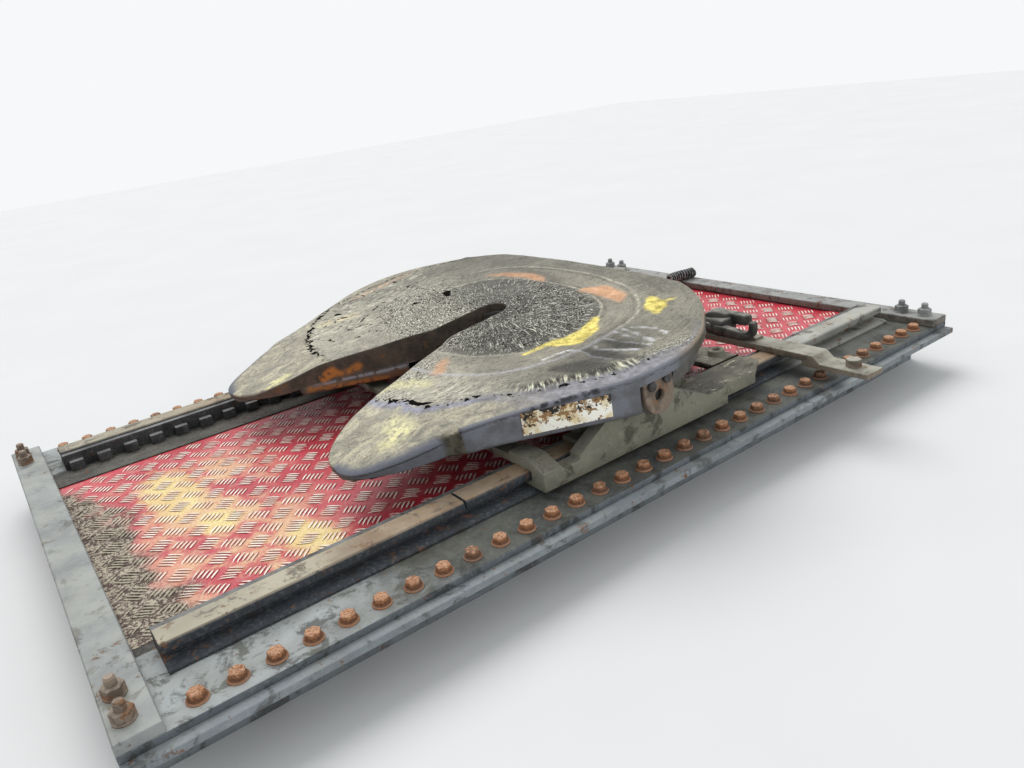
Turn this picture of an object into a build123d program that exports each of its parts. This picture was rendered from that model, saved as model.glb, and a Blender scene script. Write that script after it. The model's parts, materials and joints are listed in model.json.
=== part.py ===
from build123d import *
import math
import os

# Sliding fifth wheel coupling on its slider rails and mounting frame.
# +X points to the cab, +Y to the vehicle's left, +Z up. Millimetres.
# Z = 0 is the lower edge of the mounting angles' vertical legs.

# mounting frame
FRAME_HALF = 750.0        # half length of angles and mounting plates
CHASSIS_HALF = 395.0      # from the centre to the outer face of a chassis side member
ANGLE_T = 10.0
ANGLE_LEG = 80.0          # height of the vertical leg
ANGLE_OUT = 87.0          # width of the horizontal leg
PLATE_T = 10.0
PLATE_IN = 256.0          # inner and outer edge of a mounting plate
PLATE_OUT = 467.0
INFILL_T = 4.0
INFILL_DROP = 2.0         # the chequer plate lies this much lower than the mounting plates

# bolts of the frame
BOLT_PITCH = 42.0
BOLT_START = 83.0         # first bolt of the row from the rear end
BOLT_ROOM = 60.0          # kept free of bolts at the front end
BOLT_IN = 24.0            # row of bolts from the outer edge of the plate
BOLT_FLANGE_R = 12.4
BOLT_HEX = 9.0            # half width over the flats
LEG_PITCH = 120.0         # bolts of the vertical legs
LEG_Z = 34.0
FREE_END = 60.0           # free hole of a vertical leg from the frame's end
LEG_HOLE_R = 8.5
LEG_BOLT_R = 8.0

# slider rails and lock racks
RAIL_Y = 353.0            # middle of the rail's head
RAIL_H = 32.0
HEAD_HALF = 19.0
HEAD_H = 13.0
FOOT_OUT = 31.0           # outer edge of the rail's foot from its middle
FOOT_H = 7.0
NECK = (15.0, 4.0)        # inner and outer face of the neck from the rail's middle
RAIL_REAR = 70.0          # rail ends from the frame's ends
RAIL_FRONT = 60.0
JOINT_X = -290.0          # butt joint of the two lengths of rail
RACK_WALL = 12.0
RACK_H = 28.0
TOOTH_D = 14.0            # how far a tooth stands in from the rack's wall
TOOTH_H = 17.0
TOOTH_L = 23.0
TOOTH_PITCH = 45.0
JOINT_GAP = 0.02          # between a tooth and the wall it is welded to

# straps and cross bar
STRAP_W = 47.0
STRAP_T = 14.0
NUT_HALF = 11.0
NUT_H = 14.0
STUD_R = 6.5
STUD_H = 10.0
STUD_IN = (29.0, 74.0)    # studs from the strap's end
BAR_X = 385.0             # cross bar ahead of the carriage
BAR_W = 44.0
BAR_T = 12.0
BAR_HALF = 440.0
LUG_HALF = 540.0          # outer end of the cross bar's lugs
LUG_T = 9.0

# carriage
RUN = 0.05                # running clearance on the rails
CHEEK_OUT = 405.0         # outer face of the cheeks
CHEEK_T = 24.0
CHEEK_LOW = 99.0          # lower edge of the cheeks
DECK_T = 8.0
CLAW = (-184.0, -150.0)   # rear and front face of the rear claws
CLAW_TOP = 140.0
CHEEK_END = 194.0         # front end of the cheeks' full thickness
CHEEK_STEP = 7.0          # how far the part ahead of it is set back
CARRIAGE_FRONT = 272.0
NOSE = 312.0              # front edge of the front member
DECK_IN = 331.0           # inner edge of the decks
MEMBER_Z = (122.0, 134.0)
MEMBER_W = 62.0           # width of the front member
CYL_X = 14.0              # air cylinder of the slider lock
CYL_R = 15.0
CYL_Z = 105.5
CYL_HALF = 110.0
ROD_R = 5.0
FINGER_W = 14.0
FINGER_OUT = 292.0        # tips of the plungers' fingers, drawn back

# coupling plate, in its own coordinates: u forward, v left, w out of the top face
TILT = 7.0                # rest pitch, rear end down
KING = (30.0, 238.0)      # kingpin centre on the top face, X and Z
PIVOT = (4.0, 190.0)      # pivot axis, X and Z
TOP_T = 14.0
SKIRT = 46.0              # depth of the front skirt
HEEL = 58.0               # depth of the side skirts at the bearings
HORN_T = 35.0             # depth of the horns
RIM_LIP = 12.0            # how far the rim stands out over the front skirt
SKIRT_WALL = 12.0
RAMP_U = -300.0           # start of the horns' ramps
RAMP_SLOPE = 0.15
SLOT_R = 32.0             # half width of the kingpin slot
RING_R = 25.5             # bore of the wear ring
RING_OUT = 46.0
RING_T = 20.0
THROAT_DEPTH = 70.0
HUB_R = 31.0              # bearing hubs round the pivot pins
PIN_R = 14.0
PIN_PLAY = 0.08
COVER_Y = 436.0           # plane on which a bearing cover sits
COVER_T = 8.0
COVER_R = 28.0

# kingpin block and lock
BLOCK = (-112.0, 62.0)    # rear and front face of the block, and its half width
BLOCK_HALF = 66.0
LOCK_TOP = -34.0          # under side of the solid round the kingpin
JAW_W = (-72.0, -40.0)
JAW_PIN = (40.0, 75.0)
JAW_PIN_R = 12.0
JAW_OPEN = 56.0           # degrees the jaw is turned open at rest
JAW_LEAN = 62.0           # direction from the jaw's seat to its pin
BAR_LOW = -66.0           # lower face of the lock bar
LOCK_BAR_T = 16.0
GRIP_U = -160.0           # release handle
GRIP_W = 14.0
GRIP_LOW = -65.0
GRIP_END = 478.0

os.makedirs("parts", exist_ok=True)


def save(builder, name):
    builder.part.label = name
    export_step(builder.part, f"parts/{name}.step")


PLATE_TOP = ANGLE_LEG + PLATE_T
RAIL_TOP = PLATE_TOP + RAIL_H
BOLT_Y = PLATE_OUT - BOLT_IN
SIDES = {"right": -1, "left": 1}

ca = math.cos(math.radians(TILT))
sa = math.sin(math.radians(TILT))
# tilted top face of the coupling plate, and its middle plane seen from the right
TOP = Plane(origin=(KING[0], 0, KING[1]), x_dir=(ca, 0, sa), z_dir=(-sa, 0, ca))
MIDDLE = Plane(origin=(KING[0], 0, KING[1]), x_dir=(ca, 0, sa), z_dir=(0, -1, 0))


def on_top(u, v, w):
    """Row coordinates of a point given in the plate's own coordinates."""
    return (KING[0] + u * ca - w * sa, v, KING[1] + u * sa + w * ca)


def side_plane(s, y):
    """Vertical plane at the distance y on side s, for sketches in X and Z."""
    return Plane.XZ.offset(-s * y)


# mounting angles: vertical leg on the chassis web, horizontal leg under the plate
leg_half = int((FRAME_HALF - 2 * FREE_END) / LEG_PITCH)
bolt_spots = [(LEG_PITCH * i, LEG_Z) for i in range(-leg_half, leg_half + 1)]
free_spots = [(x, LEG_Z) for x in (FREE_END - FRAME_HALF, FRAME_HALF - FREE_END)]
for side, s in SIDES.items():
    y0 = s * CHASSIS_HALF
    with BuildPart() as angle:
        with BuildSketch(Plane.YZ.offset(-FRAME_HALF)):
            with BuildLine():
                Polyline((y0, 0), (y0 + s * ANGLE_T, 0), (y0 + s * ANGLE_T, ANGLE_LEG - ANGLE_T),
                         (y0 + s * ANGLE_OUT, ANGLE_LEG - ANGLE_T), (y0 + s * ANGLE_OUT, ANGLE_LEG),
                         (y0, ANGLE_LEG), close=True)
            make_face()
        extrude(amount=2 * FRAME_HALF)
        with BuildSketch(side_plane(s, CHASSIS_HALF)):
            with Locations(bolt_spots + free_spots):
                Circle(LEG_HOLE_R)
        extrude(amount=-s * ANGLE_T, mode=Mode.SUBTRACT)
    save(angle, f"mounting_angle_{side}")

# mounting plates
for side, s in SIDES.items():
    with BuildPart() as plate:
        with BuildSketch(Plane.XY.offset(ANGLE_LEG)):
            with Locations((0, s * (PLATE_IN + PLATE_OUT) / 2)):
                Rectangle(2 * FRAME_HALF, PLATE_OUT - PLATE_IN)
        extrude(amount=PLATE_T)
    save(plate, f"mounting_plate_{side}")

# chequer infill plate between the mounting plates
with BuildPart() as infill:
    with BuildSketch(Plane.XY.offset(PLATE_TOP - INFILL_DROP - INFILL_T)):
        Rectangle(2 * FRAME_HALF - 10, 2 * PLATE_IN)
    extrude(amount=INFILL_T)
save(infill, "infill_plate")

# slider rails: foot, neck and head, with the butt joint of the two lengths
rail_x = (RAIL_REAR - FRAME_HALF, FRAME_HALF - RAIL_FRONT)
for side, s in SIDES.items():
    foot_top = PLATE_TOP + FOOT_H
    head_low = RAIL_TOP - HEAD_H
    # distance from the rail's middle and height
    profile = [(-HEAD_HALF, PLATE_TOP), (FOOT_OUT, PLATE_TOP), (FOOT_OUT, foot_top - 3),
               (FOOT_OUT - 6, foot_top), (NECK[1], foot_top), (NECK[1], head_low),
               (HEAD_HALF, head_low), (HEAD_HALF, RAIL_TOP - 3), (HEAD_HALF - 3, RAIL_TOP),
               (3 - HEAD_HALF, RAIL_TOP), (-HEAD_HALF, RAIL_TOP - 3), (-HEAD_HALF, head_low),
               (-NECK[0], head_low), (-NECK[0], foot_top), (-HEAD_HALF, foot_top)]
    with BuildPart() as rail:
        with BuildSketch(Plane.YZ.offset(rail_x[0])):
            with BuildLine():
                Polyline(*[(s * (RAIL_Y + y), z) for y, z in profile], close=True)
            make_face()
        extrude(amount=rail_x[1] - rail_x[0])
        with Locations((JOINT_X, s * RAIL_Y, RAIL_TOP - HEAD_H / 2 + 0.5)):
            Box(3, 2 * HEAD_HALF + 2, HEAD_H + 1, mode=Mode.SUBTRACT)
    save(rail, f"slider_rail_{side}")

# lock racks: wall against the rail's head, and a row of teeth set on it
tooth_count = int((rail_x[1] - rail_x[0] - TOOTH_L) / TOOTH_PITCH) + 1
tooth_spots = [rail_x[0] + 19 + TOOTH_PITCH * i for i in range(tooth_count)]
gap_spots = [x + TOOTH_PITCH / 2 for x in tooth_spots[:-1]]
y_wall = RAIL_Y - HEAD_HALF
y_tooth = y_wall - RACK_WALL - JOINT_GAP
for side, s in SIDES.items():
    with BuildPart() as rack:
        with BuildSketch(Plane.XY.offset(PLATE_TOP)):
            with Locations(((rail_x[0] + rail_x[1]) / 2, s * (y_wall - RACK_WALL / 2))):
                Rectangle(rail_x[1] - rail_x[0], RACK_WALL)
        extrude(amount=RACK_H)
        with BuildSketch(Plane.XY.offset(PLATE_TOP)):
            with Locations([(x, s * (y_tooth - TOOTH_D / 2)) for x in tooth_spots]):
                Rectangle(TOOTH_L, TOOTH_D)
        extrude(amount=TOOTH_H)
    save(rack, f"lock_rack_{side}")

# rows of hex flange bolts on the mounting plates
bolt_count = int((2 * FRAME_HALF - BOLT_START - BOLT_ROOM) / BOLT_PITCH) + 1
for side, s in SIDES.items():
    spots = [(BOLT_START - FRAME_HALF + BOLT_PITCH * i, s * BOLT_Y) for i in range(bolt_count)]
    with BuildPart() as bolts:
        with BuildSketch(Plane.XY.offset(PLATE_TOP)):
            with Locations(spots):
                RegularPolygon(BOLT_FLANGE_R, 8)
        extrude(amount=3)
        with BuildSketch(Plane.XY.offset(PLATE_TOP + 3)):
            with Locations(spots):
                RegularPolygon(BOLT_HEX, 6, major_radius=False)
        extrude(amount=8)
    save(bolts, f"flange_bolts_{side}")

# bolts through the vertical legs
for side, s in SIDES.items():
    with BuildPart() as side_bolts:
        with BuildSketch(side_plane(s, CHASSIS_HALF + ANGLE_T)):
            with Locations(bolt_spots):
                RegularPolygon(1.5 * LEG_BOLT_R, 6, major_radius=False)
        extrude(amount=-s * 13)
        with BuildSketch(side_plane(s, CHASSIS_HALF)):
            with Locations(bolt_spots):
                Circle(LEG_BOLT_R)
        extrude(amount=-s * ANGLE_T)
    save(side_bolts, f"leg_bolts_{side}")

# straps across both ends, each with two studs and nuts a side
# rear edge of the strap, and its studs from that edge
STRAPS = {"rear": (-FRAME_HALF, 18), "front": (FRAME_HALF - STRAP_W, 24)}
for end, (x0, stud_x) in STRAPS.items():
    with BuildPart() as strap:
        with BuildSketch(Plane.XY.offset(PLATE_TOP)):
            with Locations((x0 + STRAP_W / 2, 0)):
                Rectangle(STRAP_W, 2 * PLATE_OUT)
        extrude(amount=STRAP_T)
        chamfer(strap.edges().group_by(Axis.Z)[-1].filter_by(Axis.Y), 1.5)
    save(strap, f"{end}_strap")
    spots = [(x0 + stud_x, s * (PLATE_OUT - d)) for d in STUD_IN for s in (-1, 1)]
    with BuildPart() as nuts:
        with BuildSketch(Plane.XY.offset(PLATE_TOP + STRAP_T)):
            with Locations(spots):
                RegularPolygon(NUT_HALF, 6, major_radius=False)
        extrude(amount=NUT_H)
        with BuildSketch(Plane.XY.offset(PLATE_TOP + STRAP_T + NUT_H)):
            with Locations(spots):
                Circle(STUD_R)
        extrude(amount=STUD_H)
    save(nuts, f"{end}_strap_nuts")

# cross bar lying on the rails, with a rib and a stepped-down lug at each end
with BuildPart() as cross_bar:
    with BuildSketch(Plane.YZ.offset(BAR_X - BAR_W / 2)):
        with BuildLine():
            Polyline((-LUG_HALF, RAIL_TOP - LUG_T), (-LUG_HALF, RAIL_TOP),
                     (-BAR_HALF - 14, RAIL_TOP), (-BAR_HALF, RAIL_TOP + BAR_T),
                     (BAR_HALF, RAIL_TOP + BAR_T), (BAR_HALF + 14, RAIL_TOP),
                     (LUG_HALF, RAIL_TOP), (LUG_HALF, RAIL_TOP - LUG_T),
                     (BAR_HALF - 20, RAIL_TOP - LUG_T), (BAR_HALF - 20, RAIL_TOP),
                     (20 - BAR_HALF, RAIL_TOP), (20 - BAR_HALF, RAIL_TOP - LUG_T), close=True)
        make_face()
    extrude(amount=BAR_W)
    with BuildSketch(Plane.XY.offset(RAIL_TOP + BAR_T)):
        with Locations((BAR_X, 0)):
            Rectangle(BAR_W / 2, 2 * BAR_HALF - 240)
    extrude(amount=6)
    with BuildSketch(Plane.XY.offset(RAIL_TOP)):
        with Locations((BAR_X, LUG_HALF - 38), (BAR_X, 38 - LUG_HALF)):
            RegularPolygon(NUT_HALF, 6, major_radius=False)
    extrude(amount=NUT_H)
save(cross_bar, "cross_bar")

# fork bracket on the cross bar: foot, a long arm with an upturned tip and a short arm
with BuildPart() as fork:
    with BuildSketch(Plane.XY.offset(RAIL_TOP + BAR_T)):
        with Locations((BAR_X + 16, -232)):
            Rectangle(10, 60)
        with Locations((BAR_X - 16, -232)):
            Rectangle(10, 60)
    extrude(amount=6)
    with BuildSketch(Plane.XY.offset(RAIL_TOP + BAR_T + 6)):
        with BuildLine():
            Polyline((BAR_X - 24, -202), (BAR_X - 24, -326), (BAR_X - 8, -326), (BAR_X - 8, -270),
                     (BAR_X + 8, -262), (BAR_X + 8, -290), (BAR_X + 24, -290), (BAR_X + 24, -202),
                     close=True)
        make_face()
    extrude(amount=18)
    with BuildSketch(Plane.XY.offset(RAIL_TOP + BAR_T + 24)):
        with Locations((BAR_X - 16, -318)):
            Rectangle(16, 16)
        with Locations((BAR_X, -228)):
            Rectangle(44, 50)
        with Locations((BAR_X + 16, -271)):
            Rectangle(16, 38)
    extrude(amount=16)
save(fork, "fork_bracket")

# wrapped hose lying across the front strap
HOSE_R = 13.0
with BuildPart() as hose:
    with BuildSketch(Plane.YZ.offset(FRAME_HALF - 84)):
        with Locations((160, PLATE_TOP + STRAP_T + HOSE_R)):
            Circle(HOSE_R)
    extrude(amount=82)
save(hose, "wrapped_hose")

# carriage: decks on the rails, cheeks with lips round the heads, claws and cross members
lip_in = RAIL_Y + HEAD_HALF - 12
lip_top = RAIL_TOP - HEAD_H - 2
with BuildPart() as carriage:
    for s in (-1, 1):
        # deck on the rail, its front corner cut off
        with BuildSketch(Plane.XY.offset(RAIL_TOP + RUN)):
            with BuildLine():
                Polyline((-90, s * DECK_IN), (-90, s * CHEEK_OUT), (CHEEK_END, s * CHEEK_OUT),
                         (CHEEK_END, s * (CHEEK_OUT - CHEEK_STEP)),
                         (CARRIAGE_FRONT, s * (CHEEK_OUT - CHEEK_STEP)), (NOSE, s * (RAIL_Y + HEAD_HALF)),
                         (NOSE, s * DECK_IN), close=True)
            make_face()
        extrude(amount=DECK_T)
        # rib along the deck's inner edge
        with BuildSketch(side_plane(s, DECK_IN)):
            with BuildLine():
                Polyline((-80, RAIL_TOP + RUN), (-60, 148), (150, 148), (190, RAIL_TOP + RUN), close=True)
            make_face()
        extrude(amount=-s * 14)
        # cheek that carries the pivot pin
        with BuildSketch(side_plane(s, CHEEK_OUT - CHEEK_T)):
            with BuildLine():
                Polyline((-120, CHEEK_LOW), (-118, 131), (PIVOT[0] - 17, PIVOT[1] + 6),
                         (PIVOT[0] + 17, PIVOT[1] + 6), (79, 164), (150, RAIL_TOP + DECK_T),
                         (CHEEK_END, RAIL_TOP + DECK_T), (CHEEK_END, CHEEK_LOW), close=True)
            make_face()
            with Locations(PIVOT):
                Circle(22)
            with Locations(PIVOT):
                Circle(PIN_R, mode=Mode.SUBTRACT)
        extrude(amount=-s * CHEEK_T)
        # thinner part of the cheek ahead of the lip
        with BuildSketch(side_plane(s, CHEEK_OUT - CHEEK_T)):
            with BuildLine():
                Polyline((CHEEK_END - 4, CHEEK_LOW + 8), (CHEEK_END - 4, RAIL_TOP + DECK_T),
                         (CARRIAGE_FRONT, RAIL_TOP + DECK_T), (CARRIAGE_FRONT, CHEEK_LOW + 8), close=True)
            make_face()
        extrude(amount=-s * (CHEEK_T - CHEEK_STEP))
        # lip under the rail's head
        with BuildSketch(Plane.XY.offset(CHEEK_LOW)):
            with Locations(((CHEEK_END - 120) / 2, s * (lip_in + CHEEK_OUT) / 2)):
                Rectangle(CHEEK_END + 120, CHEEK_OUT - lip_in)
        extrude(amount=lip_top - CHEEK_LOW)
        # rear claw: across the rail's top, sloping down outside and under the head
        with BuildSketch(Plane.YZ.offset(CLAW[0])):
            with BuildLine():
                Polyline((s * (DECK_IN - 6), RAIL_TOP + RUN), (s * (DECK_IN - 6), CLAW_TOP),
                         (s * (RAIL_Y + 14), CLAW_TOP), (s * CHEEK_OUT, CLAW_TOP - 12),
                         (s * CHEEK_OUT, CHEEK_LOW), (s * lip_in, CHEEK_LOW),
                         (s * lip_in, lip_top), (s * (RAIL_Y + HEAD_HALF + 3), lip_top),
                         (s * (RAIL_Y + HEAD_HALF + 3), RAIL_TOP + RUN), close=True)
            make_face()
        extrude(amount=CLAW[1] - CLAW[0])
        # low flange from the claw to the cheek
        with BuildSketch(side_plane(s, CHEEK_OUT - CHEEK_T)):
            with BuildLine():
                Polyline((CLAW[1] - 4, CHEEK_LOW), (CLAW[1] - 4, 124), (-117, 124), (-117, CHEEK_LOW),
                         close=True)
            make_face()
        extrude(amount=-s * CHEEK_T)
    # cross members and the web over the air cylinder
    with BuildSketch(Plane.XY.offset(MEMBER_Z[0])):
        with Locations(((CLAW[0] + CLAW[1]) / 2, 0)):
            Rectangle(CLAW[1] - CLAW[0], 2 * DECK_IN)
    extrude(amount=MEMBER_Z[1] - MEMBER_Z[0])
    with BuildSketch(Plane.XY.offset(MEMBER_Z[0])):
        with Locations((NOSE - MEMBER_W / 2, 0)):
            Rectangle(MEMBER_W, 2 * DECK_IN + 4)
    extrude(amount=RAIL_TOP + DECK_T - MEMBER_Z[0])
    with BuildSketch(Plane.XY.offset(MEMBER_Z[0] - 1)):
        with Locations(((NOSE - MEMBER_W + CLAW[1]) / 2, 0)):
            Rectangle(NOSE - MEMBER_W - CLAW[1] + 20, 164)
    extrude(amount=5)
    # bored bosses at the inner ends of the decks
    for s in (-1, 1):
        with BuildSketch(Plane.XY.offset(RAIL_TOP + DECK_T)):
            with Locations((NOSE - 18, s * (DECK_IN - 34))):
                Circle(15)
                Circle(7, mode=Mode.SUBTRACT)
        extrude(amount=10)
save(carriage, "carriage")

# pivot pins, held in the carriage's cheeks
for side, s in SIDES.items():
    with BuildPart() as pin:
        with BuildSketch(side_plane(s, 358)):
            with Locations(PIVOT):
                Circle(PIN_R)
        extrude(amount=-s * (COVER_Y - 2 - 358))
    save(pin, f"pivot_pin_{side}")

# slider lock: air cylinder under the web, and a plunger with two fingers a side
with BuildPart() as cylinder:
    with BuildSketch(side_plane(-1, CYL_HALF)):
        with Locations((CYL_X, CYL_Z)):
            Circle(CYL_R)
    extrude(amount=-2 * CYL_HALF)
    for y in (-70, 70):
        with BuildSketch(side_plane(1, y - 6)):
            with BuildLine():
                Polyline((CYL_X - 20, MEMBER_Z[0] - 1), (CYL_X + 20, MEMBER_Z[0] - 1),
                         (CYL_X + 13, CYL_Z - 2), (CYL_X - 13, CYL_Z - 2), close=True)
            make_face()
        extrude(amount=-12)
    for y in (-CYL_HALF, 30):
        with BuildSketch(side_plane(1, y)):
            with Locations((CYL_X, CYL_Z)):
                Circle(ROD_R + 0.05)
        extrude(amount=30 - CYL_HALF, mode=Mode.SUBTRACT)
save(cylinder, "lock_cylinder")

# two gaps of the rack nearest to the cylinder
finger_spots = sorted(sorted(gap_spots, key=lambda x: abs(x - CYL_X))[:2])
for side, s in SIDES.items():
    with BuildPart() as plunger:
        with BuildSketch(Plane.XY.offset(CYL_Z - 6.5)):
            with Locations(((finger_spots[0] + finger_spots[1]) / 2, s * 200)):
                Rectangle(TOOTH_PITCH + FINGER_W, 40)
            with Locations([(x, s * (FINGER_OUT + 212) / 2) for x in finger_spots]):
                Rectangle(FINGER_W, FINGER_OUT - 212)
        extrude(amount=13)
        with BuildSketch(side_plane(s, 40)):
            with Locations((CYL_X, CYL_Z)):
                Circle(ROD_R)
        extrude(amount=-s * 142)
    save(plunger, f"lock_plunger_{side}")

# outline of the coupling plate, left half: front arcs, flank, horn and throat
# points of the front arcs with the outward direction there
FRONT = [((243, 0), (1, 0)), ((240, 130), (1, 0.06)), ((229, 256), (0.97, 0.24)),
         ((191, 328), (0.82, 0.57)), ((122, 399), (0.66, 0.75)), ((36, 446), (0.22, 0.98)),
         ((-90, 434), (-0.42, 0.91))]
FLANK = ((-90, 434), (-250, 350))
HORN = [(-300, 331), (-340, 318), (-380, 299), (-410, 281), (-428, 262), (-435, 240)]
THROAT = [(-434, 205), (-425, 182), (-405, 158), (-360, 130), (-300, 112), (-260, 98), (-200, 72),
          (-140, 50), (-110, 33), (-100, SLOT_R)]


def front_arcs(inset):
    """Draws the front arcs moved inwards, and returns their last point."""
    p = [(u - inset * nu, v - inset * nv) for (u, v), (nu, nv) in FRONT]
    for i in (0, 2, 4):
        ThreePointArc(p[i], p[i + 1], p[i + 2])
    return p[-1]


def half_outline():
    """Draws the left half of the outline, from the middle of the front to the slot."""
    front_arcs(0)
    Polyline(FLANK[0], FLANK[1], *HORN, *THROAT)


def cover_plane(s):
    """Seat of a bearing cover, centred on the pivot and turned like the plate."""
    return Plane(origin=(PIVOT[0], s * COVER_Y, PIVOT[1]), x_dir=(ca, 0, sa), z_dir=(0, -1, 0))


# height of the rim's under side over the pivot
COVER_TOP = (KING[1] - PIVOT[1]) * ca - (KING[0] - PIVOT[0]) * sa - TOP_T


with BuildPart() as top_plate:
    # solid block under the outline
    with BuildSketch(TOP.offset(-HEEL - 2)):
        with BuildLine():
            half_outline()
            Line((-100, SLOT_R), (-100, 0))
            mirror(about=Plane.XZ)
        make_face()
    extrude(amount=HEEL + 2)
    # lower edge: shallow under the horns, deepest at the bearings, level under the front
    with BuildSketch(MIDDLE):
        with BuildLine():
            Polyline((-450, 9 - HORN_T), (-400, 6 - HORN_T), (-376, 4 - HORN_T), (-315, 4 - HORN_T),
                     (-290, -HORN_T - 3), (-66, -HEEL), (-66, -SKIRT), (300, -SKIRT), (300, -90),
                     (-450, -90), close=True)
        make_face()
    extrude(amount=500, both=True, mode=Mode.SUBTRACT)
    # rim standing out over the front skirt
    with BuildSketch(TOP.offset(-HEEL - 2)):
        with BuildLine():
            last = front_arcs(RIM_LIP)
            Polyline(last, (last[0], 520), (300, 520), (300, 0), (FRONT[0][0][0] - RIM_LIP, 0))
        make_face()
        mirror(about=Plane.XZ)
        with Locations((-166, 0)):
            Rectangle(200, 4 * CHASSIS_HALF, mode=Mode.SUBTRACT)
    extrude(amount=HEEL + 2 - TOP_T - 3, mode=Mode.SUBTRACT)
    # hollow underside, ribs left standing
    with BuildSketch(TOP.offset(-HEEL - 2)):
        with BuildLine():
            last = front_arcs(RIM_LIP + SKIRT_WALL)
            Polyline(last, (-240, 330), (-285, 312), (-285, 170), (-262, 128), (-202, 98),
                     (-165, 84), (BLOCK[0], BLOCK_HALF), (BLOCK[1], BLOCK_HALF), (BLOCK[1], 0),
                     (FRONT[0][0][0] - RIM_LIP - SKIRT_WALL, 0))
        make_face()
        with Locations((90, 218), (-170, 218)):
            Rectangle(10, 296, mode=Mode.SUBTRACT)
        with Locations((160, 200)):
            Rectangle(150, 8, mode=Mode.SUBTRACT)
        with Locations((-230, 250)):
            Rectangle(120, 8, mode=Mode.SUBTRACT)
        with Locations((-30, 366)):
            Rectangle(520, 10, mode=Mode.SUBTRACT)
        mirror(about=Plane.XZ)
    extrude(amount=HEEL + 2 - TOP_T, mode=Mode.SUBTRACT)
    # room for the kingpin block, the lock jaw and the lock bar
    with BuildSketch(TOP.offset(-HEEL - 2)):
        with Locations((-35, 60)):
            Rectangle(230, 250)
    extrude(amount=HEEL + 2 + LOCK_TOP, mode=Mode.SUBTRACT)
    with BuildSketch(TOP.offset(-HEEL - 2)):
        with Locations(((BLOCK[0] + BLOCK[1]) / 2, 0)):
            Rectangle(BLOCK[1] - BLOCK[0], 2 * BLOCK_HALF)
    extrude(amount=HEEL + 2, mode=Mode.SUBTRACT)
    for s in (-1, 1):
        # deep walls beside the throat
        with BuildSketch(TOP.offset(-THROAT_DEPTH)):
            with BuildLine():
                Polyline((-340, s * 125), (-260, s * 98), (-200, s * 72), (-165, s * 59),
                         (-165, s * 74), (-205, s * 88), (-265, s * 114), (-340, s * 141), close=True)
            make_face()
        extrude(amount=THROAT_DEPTH - TOP_T)
        with BuildSketch(MIDDLE):
            with BuildLine():
                Polyline((-345, 26 - THROAT_DEPTH), (-160, 1 - THROAT_DEPTH), (-160, -90), (-345, -90),
                         close=True)
            make_face()
        extrude(amount=150, both=True, mode=Mode.SUBTRACT)
        # bearing hubs on both sides of the cheek
        for y0, y1 in ((364, 374), (CHEEK_OUT + 6, COVER_Y)):
            with BuildSketch(side_plane(s, y0)):
                with Locations(PIVOT):
                    Circle(HUB_R)
                with BuildLine():
                    Polyline((PIVOT[0] - 44, 224), (PIVOT[0] - HUB_R, 188), (PIVOT[0] + HUB_R, 188),
                             (PIVOT[0] + 44, 232), close=True)
                make_face()
            extrude(amount=-s * (y1 - y0))
        with BuildSketch(side_plane(s, 360)):
            with Locations(PIVOT):
                Circle(PIN_R + PIN_PLAY)
        extrude(amount=-s * (COVER_Y - 360), mode=Mode.SUBTRACT)
        # seat of the bearing cover under the rim
        with BuildSketch(cover_plane(s)):
            with Locations((0, COVER_TOP - 50)):
                Rectangle(2 * COVER_R + 4, 100)
        extrude(amount=-s * 40, mode=Mode.SUBTRACT)
    # notch in the left flank and guide lug for the release handle
    with BuildSketch(TOP.offset(-HEEL - 2)):
        with Locations((GRIP_U, 400)):
            Rectangle(64, 120)
    extrude(amount=HEEL + 2 + GRIP_LOW + GRIP_W + 6, mode=Mode.SUBTRACT)
    with BuildSketch(TOP.offset(GRIP_LOW - 9)):
        with Locations((GRIP_U, 301)):
            Rectangle(GRIP_W + 20, 10)
    extrude(amount=-GRIP_LOW + 9 - TOP_T)
    with BuildSketch(TOP.offset(GRIP_LOW - PIN_PLAY)):
        with Locations((GRIP_U, 301)):
            Rectangle(GRIP_W + 2 * PIN_PLAY, 12)
    extrude(amount=GRIP_W + 2 * PIN_PLAY, mode=Mode.SUBTRACT)
    # ramps of the horns
    with BuildSketch(MIDDLE):
        with BuildLine():
            Polyline((RAMP_U, 0), (RAMP_U - 160, -160 * RAMP_SLOPE), (RAMP_U - 160, 40), (RAMP_U, 40),
                     close=True)
        make_face()
    extrude(amount=500, both=True, mode=Mode.SUBTRACT)
save(top_plate, "top_plate")

# block round the kingpin slot, with the seat of the wear ring below
with BuildPart() as block:
    with BuildSketch(TOP.offset(LOCK_TOP)):
        with Locations(((BLOCK[0] + BLOCK[1]) / 2, 0)):
            Rectangle(BLOCK[1] - BLOCK[0], 2 * BLOCK_HALF)
        with Locations((-65, 0)):
            Rectangle(130, 2 * SLOT_R, mode=Mode.SUBTRACT)
        Circle(SLOT_R, mode=Mode.SUBTRACT)
    extrude(amount=-LOCK_TOP)
    with BuildSketch(TOP.offset(LOCK_TOP)):
        Circle(RING_OUT)
        with Locations((-50, 0)):
            Rectangle(100, 100, mode=Mode.SUBTRACT)
    extrude(amount=RING_T, mode=Mode.SUBTRACT)
save(block, "kingpin_block")

# wear ring under the slot's front end
with BuildPart() as ring:
    with BuildSketch(TOP.offset(LOCK_TOP)):
        Circle(RING_OUT)
        Circle(RING_R, mode=Mode.SUBTRACT)
        with Locations((-50, 0)):
            Rectangle(100, 100, mode=Mode.SUBTRACT)
    extrude(amount=RING_T)
save(ring, "wear_ring")


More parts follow.
